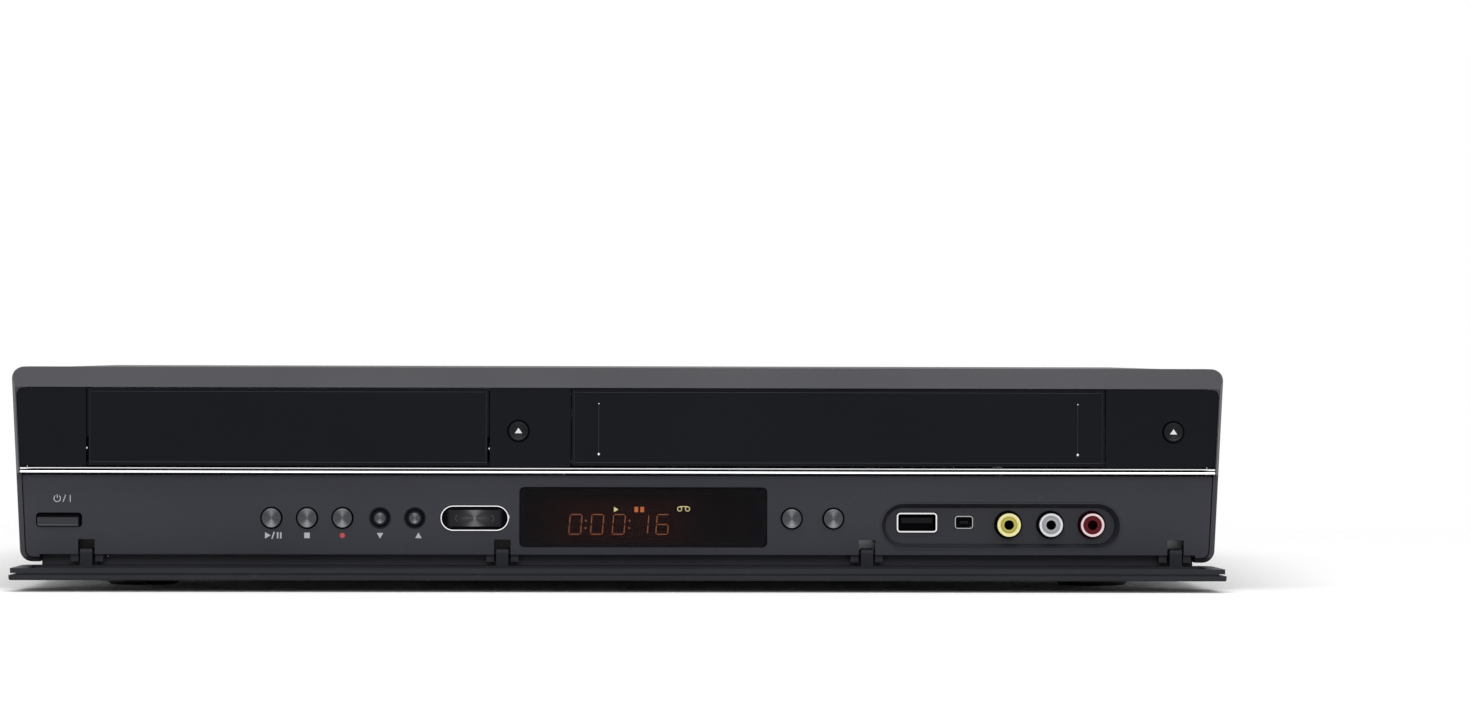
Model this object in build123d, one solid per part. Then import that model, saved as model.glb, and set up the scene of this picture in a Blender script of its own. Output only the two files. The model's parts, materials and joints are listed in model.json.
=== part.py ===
from build123d import *
from math import atan, cos, degrees, pi, radians, sin, sqrt, tan
import os

# Full-width disc and cassette recorder, front flap lying open.
# Millimetres. X to the right, Y to the back, Z up. Y is 0 at the front of the upper face while building,
# and every node is moved at the end so that the bounding box is centred on X and Y.

os.makedirs("parts", exist_ok=True)

# ---------------------------------------------------------------- driving dimensions

# casing
face_half_top = 215.0        # half width of the face near its top
face_taper = 3.0             # how much narrower each side is near the bottom
face_half_low = face_half_top - face_taper
face_top_level = 75.0        # height where the top half width holds
face_low_level = 13.2        # height where the low half width holds
body_bottom = 9.5
body_top = 78.5
bezel_depth = 24.0
bezel_corner_top = 4.2
bezel_corner_low = 4.5
bezel_border = 1.9           # width of the bevelled rim round the face
bezel_rim_depth = 5.7
swing_relief = 1.8            # takes the lower front edge out of the flap's swing
top_band_height = 7.1        # sloping band above the doors
top_band_depth = 7.1
top_band_wall = 2.1
rear_face = 343.0
cover_inset = 3.6            # cover's side, in from the widest part of the face
cover_half = face_half_top - cover_inset
cover_sheet = 1.0
cover_top = 78.1
cover_low = 10.8
sheet = 1.0                  # base tray and rear panel
joint_gap = 0.2              # gap between fixed covers

# upper face
fascia_face = 0.6
fascia_wall = 2.4
fascia_low = 43.6
fascia_high = 71.2
seam = 0.35                  # gap round doors and plates
disc_door_left = -187.9
disc_door_right = -46.3
tape_door_left = -17.0
tape_door_right = 172.2
plate_inset = 0.9            # raised plate on each door, in from the door's edge
plate_step = 0.4
plate_bevel = 0.22
plate_corner = 1.3
notch_low, notch_high, notch_depth = 44.6, 54.0, 0.5
groove_inset, groove_low, groove_high = 9.6, 47.8, 66.0
groove_wide, groove_deep = 0.8, 0.35
trim_low = 40.95
trim_high = 43.2
trim_proud = 0.5
trim_groove = 0.5
door_pivot_y, door_pivot_z = 4.5, 69.3
door_pin = 1.0
door_pin_reach = 3.5         # how far the pins stand out of the cassette door's ends
rail_inset = 7.0             # rails behind the doors, in from the face's edge
rail_rise = 2.1
rail_back = 8.0

# lower face
lower_face = 4.7
lower_wall = 2.5
panel_bevel = 0.3            # round the front edge of the lower panel
lower_top = 40.5
recess_top = 12.2
recess_half = face_half_top - 10.0
recess_wall_at = 11.5
recess_wall = 1.5
recess_wall_low = 6.5        # it hangs behind the open flap's inner edge
button_level = 25.1

# front flap
flap_low = 10.0
flap_high = 40.3
flap_skin = 1.8
flap_neck = 0.7
flap_thickness = 4.2
flap_neck_inset = 2.6
flap_liner_inset = 0.5
flap_corner = 4.5
flap_pocket = 1.2
flap_pocket_play = 1.0       # past the outer edge of the power button
pivot_y = 8.55
pivot_z = 12.55
hinge_places = (26.5 - face_half_top, -41.5, 88.0, face_half_top - 17.0)
hinge_arm_width = 4.3
hinge_slot_width = 5.9
hinge_slot_top = 17.5
hinge_pin = 1.0
hinge_ear = 2.8
running_gap = 0.05           # radial gap of a pin or shaft in its bore

# buttons
round_button = 3.7
small_button = 2.8
small_dish = 3.9
button_gap = 0.27
button_proud = 0.9
button_travel = 1.0
button_flange = 1.3
flange_extra = 1.3
stem_radius = 1.5
play_x, stop_x, record_x = -123.2, -110.6, -98.1
channel_down_x, channel_up_x = -84.8, -72.5
dubbing_x = -51.3
dubbing_length, dubbing_height = 22.4, 7.2
ring_width = 0.85
ring_proud = 0.5
source_x, resolution_x = 61.2, 76.0
power_x, power_z = 16.85 - face_half_top, 24.3
power_length, power_height = 15.4, 4.3
disc_eject_x, tape_eject_x, eject_z = -35.8, face_half_top - 18.4, 56.1
front_board_face = 15.2
board_thickness = 1.6
switch_depth = 3.2
board_posts = ((-178, 34), (-140, 34), (-28.5, 38.2), (56, 38.2), (-150, 18), (84, 36), (184, 37))
board_low, board_high = 14.2, 40.0
board_left, board_right = 11.0 - face_half_top, face_half_top - 9.0

# display
display_left, display_right = -35.5, 52.5
display_low, display_high = 14.8, 36.2
display_corner = 1.8
display_wall = 1.8
display_step = 2.0           # ledge that the window rests on
tube_front, tube_back = 9.2, 13.0

# front jacks
jack_left, jack_right = 92.6, 178.8
jack_low, jack_high = 13.9, 31.0
jack_depth = 4.6
jack_slope = 1.6             # how far the sloping wall of the pocket comes in
usb_x, usb_z, usb_wide, usb_high = 106.0, 23.6, 14.4, 7.0
dv_x, dv_z, dv_wide, dv_high = 122.8, 23.7, 6.5, 4.6
phono_places = {"video_jack": 138.6, "audio_left_jack": 153.6, "audio_right_jack": 168.4}
phono_z = 22.9
phono_radius = 4.15
phono_bore = 1.75
phono_proud = 4.6
phono_clear = 0.9            # round the sleeve in the plate
phono_step = 0.4             # sleeve is that much thinner behind the plate

# feet
foot_radius = 13.0
foot_sink = 2.0              # hollow under each foot
foot_places = ((-172, 46), (172, 46), (-172, 302), (172, 302))

# disc drive
drive_x = -117.1
drive_half = 74.5
drive_front, drive_back = 18.0, 190.0
drive_low, drive_high = 31.5, 72.0
drive_wall = 2.0
tray_half = 64.5
tray_back = 174.0
tray_low, tray_high = 52.5, 58.5
disc_y = 69.0
disc_well = 61.5
small_well = 41.0
tray_slot = 20.0
tray_travel = 135.0
turntable_top = 57.2
turntable_radius = 14.5
motor_radius = 13.0
spindle_radius = 1.5
deck_plate_low, deck_plate_high = 41.0, 42.5
rod_spread = 21.0
rod_radius = 1.5
rod_level = 47.0
sled_front, sled_back = 84.0, 104.0
sled_travel = 34.0
gear_module = 1.0
gear_teeth = 16
gear_y = 31.0
gear_offset = 50.15          # gear centre, left of the tray's centre
backlash = 0.3
gear_shaft = 2.0
gear_low, gear_high = 46.4, 51.8
clamper_neck = 10.2
bridge_low, bridge_high = 61.0, 62.5
deck_posts = ((-29, 50), (29, 50), (-29, 147), (29, 147))
motor_drop = 8.5             # top of the spindle motor under the turntable's face

# cassette deck
tape_x = (tape_door_left + tape_door_right) / 2
cassette_width, cassette_depth, cassette_height = 188.0, 104.0, 25.0
cassette_play = 1.0          # above the cassette in its holder
holder_front = 36.0
holder_drop = 16.0
carriage_travel = 44.0
plate_low, plate_high = 24.5, 26.0
reel_spread = 46.0
reel_y = 125.0
drum_y, drum_radius, drum_tilt = 228.0, 31.0, 5.0
capstan_x, capstan_y, capstan_radius = 128.0, 200.0, 2.0
flywheel_radius = 27.0
pinch_pivot_x, pinch_pivot_y = 150.0, 222.0
pinch_x, pinch_y, pinch_radius = 146.7, 196.2, 6.0
pinch_axle, pinch_post = 1.4, 2.0
drum_gap_level = 44.5
drum_shaft = 3.0
holder_clear = 1.5           # cassette's play in its holder
holder_pin_level = 52.0
carriage_pin_level = 40.0
guide_pin = 1.5
slot_gap = 0.15
side_gap = 1.4               # between the carriage's plates and the chassis brackets
carriage_plate, bracket_plate = 1.4, 1.5
reel_post = 1.5

# rear
fan_x, fan_z, fan_size, fan_depth = -150.0, 46.0, 40.0, 10.0
inlet_x, inlet_z = 23.0 - face_half_top, 30.0
tuner_x = -96.0
scart_x = -45.0
rear_jack_x = (5, 23, 41, 59, 77)
rear_jack_rows = (30.0, 50.0)
aerial_reach = 10.5
aerial_start = 0.5           # full radius from here outwards
aerial_radius, aerial_bore, aerial_pin = 5.2, 4.3, 1.0
scart_wide, scart_high = 47.6, 14.6
inlet_wide, inlet_high = 16.0, 8.4
digital_x, digital_z, digital_wide, digital_high = 112.0, 30.0, 14.8, 5.4
rear_gap = 0.15              # rear sockets in their holes

# screws, boards and their legs
screw_radius, screw_head, screw_head_height = 1.5, 3.0, 1.6
side_screws = (60.0, 300.0)
rear_screws = (-150.0, 0.0, 150.0)
screw_level = 20.0
rear_screw_level = 71.5
main_board_level = 15.0
power_board_level = 18.0
board_edge = face_half_top - 10.0
deck_legs = ((-18, 40), (174, 40), (-18, 232), (174, 232))
board_legs = ((-78, 248), (board_edge - 7, 248), (-78, 332), (board_edge - 7, 332))
power_legs = ((5 - board_edge, 206), (-116, 206), (5 - board_edge, 326), (-116, 326))
drive_leg_offset = 66.0
drive_leg_rows = (30.0, 172.0)

# ---------------------------------------------------------------- values that follow

fascia_back = fascia_face + fascia_wall
lower_back = lower_face + lower_wall
rim_taper = degrees(atan(bezel_border * 0.8 / bezel_rim_depth))
jack_x = (jack_left + jack_right) / 2
jack_z = (jack_low + jack_high) / 2
jack_floor = lower_face + jack_depth
ear_top = pivot_z + 3
inner_half = cover_half - cover_sheet - joint_gap
chassis_front = bezel_depth + joint_gap
motor_top = turntable_top - motor_drop
holder_inside = cassette_width / 2 + holder_clear
holder_outside = holder_inside + sheet
carriage_inside = holder_outside + 2.3
carriage_outside = carriage_inside + carriage_plate
bracket_inside = carriage_outside + side_gap
bracket_outside = bracket_inside + bracket_plate
ledge_level = fascia_low + 0.4
holder_top = ledge_level + sheet + cassette_height + cassette_play
holder_back = holder_front + cassette_depth
holder_pins = (holder_front + 24, holder_front + 80)
carriage_pins = (holder_front + 34, holder_front + 90)
fan_back = rear_face - sheet
fan_front = fan_back - fan_depth
flap_front = pivot_y + pivot_z - flap_high
rear_reach = rear_face + aerial_reach
shift = -(flap_front + rear_reach) / 2

# ---------------------------------------------------------------- helpers

nodes = {}


def block(x0, x1, y0, y1, z0, z1):
    centre = Pos((x0 + x1) / 2, (y0 + y1) / 2, (z0 + z1) / 2)
    return centre * Box(x1 - x0, y1 - y0, z1 - z0)


def rod_x(radius, y, z, x0, x1):
    return Pos((x0 + x1) / 2, y, z) * Rot(0, 90, 0) * Cylinder(radius, x1 - x0)


def rod_y(radius, x, z, y0, y1):
    return Pos(x, (y0 + y1) / 2, z) * Rot(90, 0, 0) * Cylinder(radius, y1 - y0)


def rod_z(radius, x, y, z0, z1):
    return Pos(x, y, (z0 + z1) / 2) * Cylinder(radius, z1 - z0)


def front_plate(outline, y0, y1, taper=0.0):
    # a sketch drawn as seen from the front, filled from y1 forward to y0
    return extrude(Plane.XZ.offset(-y1) * outline, amount=y1 - y0, taper=taper)


def side_plate(points, x0, x1):
    # a profile of (y, z) points, filled from x0 to x1
    profile = make_face(Polyline(*[(y, z) for y, z in points], close=True))
    return extrude(Plane.YZ.offset(x0) * profile, amount=x1 - x0)


def half_width(z):
    slope = (face_half_top - face_half_low) / (face_top_level - face_low_level)
    return face_half_low + slope * (z - face_low_level)


def face_outline(inset, z0, z1, corner_low, corner_high):
    low = half_width(z0) - inset
    high = half_width(z1) - inset
    outline = make_face(Polyline((-low, z0), (low, z0), (high, z1), (-high, z1), close=True))
    outline = fillet(outline.vertices().sort_by(Axis.Y)[:2], corner_low)
    return fillet(outline.vertices().sort_by(Axis.Y)[-2:], corner_high)


def rounded(x0, x1, z0, z1, corner):
    return Pos((x0 + x1) / 2, (z0 + z1) / 2) * RectangleRounded(x1 - x0, z1 - z0, corner)


def stadium(x, z, length, height):
    return Pos(x, z) * SlotOverall(length, height)


def gear_outline(module, teeth, slack):
    # involute teeth, with a gap facing along +X and, for an even count, along -X
    pitch_radius = module * teeth / 2
    base_radius = pitch_radius * cos(radians(20))
    root_radius = pitch_radius - 1.25 * module
    tip_radius = pitch_radius + module

    def involute(radius):
        ratio = sqrt(max((radius / base_radius) ** 2 - 1, 0))
        return ratio - atan(ratio)

    half_tooth = (pi * module / 2 - slack) / 2 / pitch_radius + involute(pitch_radius)
    steps = 4
    start = max(root_radius, base_radius)
    flank = [start + (tip_radius - start) * i / steps for i in range(steps + 1)]
    points = []
    for tooth in range(teeth):
        middle = 2 * pi * (tooth + 0.5) / teeth
        rising = [(r, middle - half_tooth + involute(r)) for r in flank]
        falling = [(r, middle + half_tooth - involute(r)) for r in reversed(flank)]
        polar = [(root_radius, middle - half_tooth)] + rising
        polar += falling + [(root_radius, middle + half_tooth)]
        points += [(r * cos(a), r * sin(a)) for r, a in polar]
    return make_face(Polyline(*points, close=True))


# ---------------------------------------------------------------- front casing

def make_front_bezel():
    outline = face_outline(0, body_bottom, body_top, bezel_corner_low, bezel_corner_top)
    bezel = front_plate(outline, 0, bezel_rim_depth, rim_taper)
    bezel += front_plate(outline, bezel_rim_depth, bezel_depth)
    # below the trim the rim stands back with the lower panel
    split = trim_low - joint_gap / 2
    bezel -= block(-face_half_top - 5, face_half_top + 5, -1, lower_face, 0, split)
    edge = [(lower_face - 1, body_bottom - 1), (lower_face - 1, body_bottom + swing_relief + 1),
            (lower_face + swing_relief + 1, body_bottom - 1)]
    bezel -= side_plate(edge, -face_half_top - 5, face_half_top + 5)
    band = [(-1, body_top - top_band_height - 1), (-1, body_top + 1), (top_band_depth + 1, body_top + 1)]
    bezel -= side_plate(band, -face_half_top - 5, face_half_top + 5)
    ring = face_outline(bezel_border, body_bottom + 1.3, body_top - top_band_height, 2.8, 2.8)
    bezel -= front_plate(ring, -1, bezel_depth + 1)
    # hollow behind the sloping band
    band_low = body_top - top_band_height
    start = top_band_wall * sqrt(2)
    rise = top_band_height - top_band_wall
    hollow = [(start, band_low - 1), (bezel_depth + 1, band_low - 1), (bezel_depth + 1, band_low + rise),
              (start + rise, band_low + rise), (start, band_low)]
    bezel -= side_plate(hollow, -face_half_top + 6, face_half_top - 6)
    # the hinge recess opens the lower rim between the corners
    recess_back = recess_wall_at + recess_wall + joint_gap
    bezel -= block(-recess_half, recess_half, 0, recess_back, 0, recess_top)
    return bezel


def make_upper_fascia():
    spans = ((-face_half_top, disc_door_left - seam),
             (disc_door_right + seam, tape_door_left - seam),
             (tape_door_right + seam, face_half_top))
    outline = face_outline(bezel_border + 0.2, fascia_low, fascia_high, 0.5, 2.6)
    whole = front_plate(outline, fascia_face, fascia_back)
    fascia = None
    rail_half = half_width(fascia_low) - rail_inset
    rail_top = fascia_high + rail_rise
    rail_front = fascia_back + 2.2
    for x0, x1 in spans:
        plate = whole & block(x0, x1, 0, fascia_back + 1, fascia_low, fascia_high)
        web0, web1 = max(x0, -rail_half), min(x1, rail_half)
        plate += block(web0, web1, fascia_back - 0.1, rail_back, fascia_high - 1.2, fascia_high + 0.1)
        plate += block(web0, web1, rail_front, rail_back, fascia_high, rail_top)
        plate += block(web0, web1, fascia_back - 0.1, rail_front, fascia_low, fascia_low + 1.6)
        plate += block(web0, web1, fascia_back + joint_gap, rail_front, trim_high - 0.1, fascia_low + 0.1)
        fascia = plate if fascia is None else fascia + plate
    # rails that tie the plates together above and below the doors
    fascia += block(-rail_half, rail_half, rail_front, rail_back, fascia_high + 0.4, rail_top)
    fascia += block(-rail_half, rail_half, fascia_back + joint_gap, rail_front, trim_low + 0.1, trim_high)
    # ears for the cassette door's pins
    ear = door_pin_reach + 0.5
    for x0, x1 in ((tape_door_left - seam - ear, tape_door_left - seam),
                   (tape_door_right + seam, tape_door_right + seam + ear)):
        fascia += block(x0, x1, fascia_back - 0.1, rail_back, door_pivot_z - 3, fascia_high)
    fascia -= rod_x(door_pin + running_gap, door_pivot_y, door_pivot_z,
                    tape_door_left - seam - ear - 1, tape_door_right + seam + ear + 1)
    for x in (disc_eject_x, tape_eject_x):
        fascia -= rod_y(round_button + button_gap, x, eject_z, 0, 10)
    return fascia


def door_plate(left, right):
    # a raised plate with a bevelled edge on a frame that stands back
    low, high = fascia_low + 0.15, fascia_high - 0.15
    plate = rounded(left + plate_inset, right - plate_inset,
                    low + plate_inset, high - plate_inset, plate_corner)
    door = front_plate(plate, fascia_face, fascia_back)
    door = chamfer(door.faces().sort_by(Axis.Y)[0].edges(), plate_bevel)
    return door + front_plate(rounded(left, right, low, high, 0.6), fascia_face + plate_step, fascia_back)


def make_disc_door():
    door = door_plate(disc_door_left, disc_door_right)
    # small notches in both ends
    for x0, x1 in ((disc_door_left - 1, disc_door_left + notch_depth),
                   (disc_door_right - notch_depth, disc_door_right + 1)):
        door -= block(x0, x1, fascia_face - 1, fascia_back + 1, notch_low, notch_high)
    return door


def make_cassette_door():
    door = door_plate(tape_door_left, tape_door_right)
    # upright grooves near both ends
    for x in (tape_door_left + groove_inset, tape_door_right - groove_inset):
        slot = Rot(0, 0, 90) * SlotOverall(groove_high - groove_low, groove_wide)
        slot = Pos(x, (groove_low + groove_high) / 2) * slot
        door -= front_plate(slot, fascia_face - 1, fascia_face + groove_deep)
    arm, boss = 2.0, 1.8
    left, right = tape_door_left, tape_door_right
    for x0, x1, pin0, pin1 in ((left, left + arm, left - door_pin_reach, left + 1),
                               (right - arm, right, right - 1, right + door_pin_reach)):
        door += block(x0, x1, fascia_back - 0.1, door_pivot_y, door_pivot_z - boss, door_pivot_z + boss)
        door += rod_x(boss, door_pivot_y, door_pivot_z, x0, x1)
        door += rod_x(door_pin, door_pivot_y, door_pivot_z, pin0, pin1)
    return door


def make_chrome_strip():
    # two beads with a groove between them
    bead = (trim_high - trim_low) / 2
    back = fascia_back + 0.2
    middle = (trim_high + trim_low) / 2
    groove, front = trim_groove / 2, -trim_proud
    profile = [(back, trim_low), (back, trim_high), (0.3, trim_high), (front + 0.1, trim_high - bead * 0.2),
               (front, trim_high - bead * 0.45), (front + 0.25, middle + groove), (0.6, middle + groove),
               (0.6, middle - groove), (front + 0.25, middle - groove), (front, trim_low + bead * 0.45),
               (front + 0.1, trim_low + bead * 0.2), (0.3, trim_low)]
    end = half_width(trim_low) - bezel_border - 0.1
    return side_plate(profile, -end, end)


def make_lower_panel():
    outline = face_outline(bezel_border + joint_gap, body_bottom + 1.5, lower_top, 2.7, 0.6)
    panel = front_plate(outline, lower_face, lower_back)
    panel = chamfer(panel.faces().sort_by(Axis.Y)[0].edges(), panel_bevel)
    panel -= block(-recess_half, recess_half, 0, lower_back + 1, 0, recess_top)
    # web and wall of the hinge recess
    wall_back = recess_wall_at + recess_wall
    half = recess_half - 0.2
    panel += block(-half, half, lower_back - 0.1, wall_back, recess_top, recess_top + 1.5)
    panel += block(-half, half, recess_wall_at, wall_back, recess_wall_low, recess_top + 1.5)
    for x in hinge_places:
        inner = hinge_slot_width / 2
        panel -= block(x - inner, x + inner, 0, recess_wall_at, recess_top - 1, hinge_slot_top)
        for side in (-1, 1):
            ends = sorted((x + side * inner, x + side * (inner + hinge_ear)))
            panel += block(ends[0], ends[1], lower_back - 0.2, recess_wall_at + 0.1, body_bottom, ear_top)
        reach = inner + hinge_ear + 0.5
        panel -= rod_x(hinge_pin + running_gap, pivot_y, pivot_z, x - reach, x + reach)
    # button holes
    for x in (play_x, stop_x, record_x, source_x, resolution_x):
        panel -= rod_y(round_button + button_gap, x, button_level, 0, lower_back + 1)
    for x in (channel_down_x, channel_up_x):
        panel -= rod_y(small_button + button_gap, x, button_level, 0, lower_back + 1)
        dish = Cone(small_button + button_gap, small_dish, 1.0)
        panel -= Pos(x, lower_face + 0.5, button_level) * Rot(90, 0, 0) * dish
    opening = stadium(dubbing_x, button_level,
                      dubbing_length + 2 * button_gap, dubbing_height + 2 * button_gap)
    panel -= front_plate(opening, 0, lower_back + 1)
    seat = ring_width + button_gap
    groove = stadium(dubbing_x, button_level, dubbing_length + 2 * seat, dubbing_height + 2 * seat)
    panel -= front_plate(groove, 0, lower_face + 1.0)
    panel -= front_plate(power_outline(button_gap + 0.15), 0, lower_back + 1)
    # display opening, with a step that the window rests on
    window = rounded(display_left, display_right, display_low, display_high, display_corner)
    panel -= front_plate(window, 0, lower_face + display_wall)
    inner = rounded(display_left + display_step, display_right - display_step,
                    display_low + display_step, display_high - display_step, 1.0)
    panel -= front_plate(inner, 0, lower_back + 1)
    # jack plate opening
    length, height = jack_right - jack_left, jack_high - jack_low
    panel -= front_plate(stadium(jack_x, jack_z, length, height), 0, lower_back + 1)
    # posts that carry the front board
    for x, z in board_posts:
        panel += rod_y(2.2, x, z, lower_back - 0.1, front_board_face)
    return panel


def power_outline(grow):
    half = power_length / 2 + grow
    rise = power_height / 2 + grow
    return rounded(power_x - half, power_x + half, power_z - rise, power_z + rise, 0.9 + grow)


def make_dubbing_ring():
    seat = ring_width + button_gap
    outer = stadium(dubbing_x, button_level,
                    dubbing_length + 2 * seat - 0.04, dubbing_height + 2 * seat - 0.04)
    inner = stadium(dubbing_x, button_level,
                    dubbing_length + 2 * button_gap, dubbing_height + 2 * button_gap)
    ring = front_plate(outer - inner, lower_face - ring_proud, lower_face + 1.0)
    return chamfer(ring.faces().sort_by(Axis.Y)[0].edges(), 0.25)


def make_display_window():
    play = 0.12
    outline = rounded(display_left + play, display_right - play,
                      display_low + play, display_high - play, display_corner)
    window = front_plate(outline, lower_face - 0.15, lower_face + display_wall)
    return chamfer(window.faces().sort_by(Axis.Y)[0].edges(), 0.15)


def make_display_module():
    # glass tube of the fluorescent display on its two stand-offs
    module = block(display_left + 4, display_right - 4, tube_front, tube_back,
                   display_low + 2.4, display_high - 2.4)
    for x in (display_left + 10, display_right - 10):
        module += block(x - 3, x + 3, tube_back - 0.1, front_board_face, display_low + 5, display_high - 5)
    return module


def make_jack_plate():
    length, height = jack_right - jack_left - 0.2, jack_high - jack_low - 0.2
    floor = jack_floor
    plate = front_plate(stadium(jack_x, jack_z, length, height), lower_face, floor + 1.8)
    # rim behind the panel that the plate is screwed by
    rim_low = ear_top + joint_gap
    flange = rounded(jack_left - 2.5, jack_right + 2.5, rim_low, jack_high + 1.5, 2.0)
    plate += front_plate(flange, lower_back, floor + 1.8)
    slope = degrees(atan(jack_slope / jack_depth))
    pocket = stadium(jack_x, jack_z, length - 1.0 - 2 * jack_slope, height - 1.0 - 2 * jack_slope)
    plate -= front_plate(pocket, lower_face - 0.001, floor, -slope)
    plate -= front_plate(rounded_at(usb_x, usb_z, usb_wide + 0.2, usb_high + 0.2, 0.9), 0, floor + 3)
    plate -= front_plate(rounded_at(dv_x, dv_z, dv_wide + 0.2, dv_high + 0.2, 0.7), 0, floor + 3)
    for x in phono_places.values():
        plate -= rod_y(phono_radius + phono_clear, x, phono_z, 0, floor + 3)
    return plate


def rounded_at(x, z, width, height, corner):
    return Pos(x, z) * RectangleRounded(width, height, corner)


def make_usb_port():
    floor = jack_floor
    shell = front_plate(rounded_at(usb_x, usb_z, usb_wide, usb_high, 0.8), floor - 0.9, floor + 14)
    inside = rounded_at(usb_x, usb_z, usb_wide - 1.2, usb_high - 1.2, 0.5)
    shell -= front_plate(inside, floor - 2, floor + 12)
    tongue_low = usb_z - 0.2
    shell += block(usb_x - 5.6, usb_x + 5.6, floor + 1, floor + 12.5, tongue_low, tongue_low + 1.9)
    shell += block(usb_x - usb_wide / 2, usb_x + usb_wide / 2, floor + 3, floor + 14,
                   usb_z - usb_high / 2 - 1, usb_z - usb_high / 2 + 0.2)
    return shell


def make_dv_port():
    floor = jack_floor
    shell = front_plate(rounded_at(dv_x, dv_z, dv_wide, dv_high, 0.6), floor - 0.5, floor + 9)
    shell -= front_plate(rounded_at(dv_x, dv_z, dv_wide - 0.8, dv_high - 0.8, 0.3), floor - 2, floor + 6)
    shell += block(dv_x - 1.6, dv_x + 1.6, floor + 0.4, floor + 6.5, dv_z - 0.5, dv_z + 0.5)
    return shell


def make_phono_jack(x):
    # the metal sleeve with its insulator, and the moulded box behind the plate
    floor = jack_floor
    jack = rod_y(phono_radius, x, phono_z, floor - phono_proud, floor)
    jack += rod_y(phono_radius - phono_step, x, phono_z, floor - 0.1, floor + 2)
    jack += block(x - 5, x + 5, floor + 1.9, floor + 14, phono_z - 6, phono_z + 6)
    jack -= rod_y(phono_bore, x, phono_z, floor - phono_proud - 1, floor + 6)
    groove = Pos(x, phono_z) * (Circle(phono_radius - 0.7) - Circle(phono_bore + 0.75))
    jack -= front_plate(groove, floor - phono_proud - 1, floor - phono_proud + 0.6)
    return jack


# ---------------------------------------------------------------- front flap

def make_front_flap():
    skin_outline = face_outline(0, flap_low, flap_high, flap_corner, 0.6)
    neck_outline = face_outline(flap_neck_inset, flap_low + 1.0, flap_high - 0.8, flap_corner - 1, 0.6)
    liner_outline = face_outline(flap_liner_inset, flap_low + 0.3, flap_high - 0.2, flap_corner - 0.5, 0.6)
    neck_end = flap_skin + flap_neck
    flap = front_plate(skin_outline, 0, flap_skin)
    flap = fillet(flap.faces().sort_by(Axis.Y)[0].edges(), 0.7)
    flap += front_plate(neck_outline, flap_skin - 0.1, neck_end + 0.1)
    flap += front_plate(liner_outline, neck_end, flap_thickness)
    pocket_half = power_length / 2 - power_x + flap_pocket_play
    pocket = rounded(-pocket_half, pocket_half, hinge_slot_top + 0.7, flap_high - 2.6, 2.0)
    flap -= front_plate(pocket, flap_thickness - flap_pocket, flap_thickness + 1)
    # turn to the open position before adding the arms, which are drawn open
    hinge_line = Axis((0, pivot_y, pivot_z), (1, 0, 0))
    flap = flap.rotate(hinge_line, 90)
    flap_level = pivot_z - pivot_y + flap_thickness
    half = hinge_arm_width / 2
    arm_front = lower_face - 0.8
    arm_top = pivot_z + 1.7
    for x in hinge_places:
        arm = block(x - half, x + half, arm_front, pivot_y + 0.2, flap_level - 0.4, arm_top)
        arm = fillet(arm.edges().filter_by(Axis.X).group_by(Axis.Z)[-1].sort_by(Axis.Y)[0], 1.5)
        arm += rod_x(1.9, pivot_y, pivot_z, x - half, x + half)
        arm += block(x - half, x + half, pivot_y, pivot_y + 1.8, flap_level - 0.4, pivot_z)
        pin_half = hinge_slot_width / 2 + hinge_ear - 0.2
        arm += rod_x(hinge_pin, pivot_y, pivot_z, x - pin_half, x + pin_half)
        flap += arm
    return flap


# ---------------------------------------------------------------- buttons

def finish_button(button, x, z, half_wide, half_high, panel_back):
    # the flange behind the panel and the stem that reaches towards the switch
    front = panel_back + 0.3
    button += block(x - half_wide, x + half_wide, front, front + button_flange,
                    z - half_high, z + half_high)
    stem_end = front_board_face - switch_depth - button_travel - 0.2
    return button + rod_y(stem_radius, x, z, front + button_flange - 0.1, stem_end)


def make_round_button(x, z, radius, panel_face, panel_back):
    face = panel_face - button_proud
    button = rod_y(radius, x, z, face, panel_back + 0.4)
    button = fillet(button.faces().sort_by(Axis.Y)[0].edges(), 0.35)
    # shallow turned dish in the cap
    ball_radius = 24.0
    depth = 0.18
    button -= Pos(x, face - ball_radius + depth, z) * Sphere(ball_radius)
    reach = radius + flange_extra
    return finish_button(button, x, z, reach, reach, panel_back)


def make_dubbing_button():
    button = front_plate(stadium(dubbing_x, button_level, dubbing_length, dubbing_height),
                         lower_face - button_proud, lower_back + 0.4)
    button = fillet(button.faces().sort_by(Axis.Y)[0].edges(), 0.4)
    return finish_button(button, dubbing_x, button_level, dubbing_length / 2 + flange_extra,
                         dubbing_height / 2 + flange_extra, lower_back)


def make_power_button():
    button = front_plate(power_outline(0), lower_face - button_proud, lower_back + 0.4)
    button = fillet(button.faces().sort_by(Axis.Y)[0].edges(), 0.5)
    return finish_button(button, power_x, power_z, power_length / 2 + flange_extra,
                         power_height / 2 + flange_extra, lower_back)


buttons = {
    "play_button": (play_x, button_level, round_button),
    "stop_button": (stop_x, button_level, round_button),
    "record_button": (record_x, button_level, round_button),
    "channel_down_button": (channel_down_x, button_level, small_button),
    "channel_up_button": (channel_up_x, button_level, small_button),
    "source_button": (source_x, button_level, round_button),
    "resolution_button": (resolution_x, button_level, round_button),
}


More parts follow.
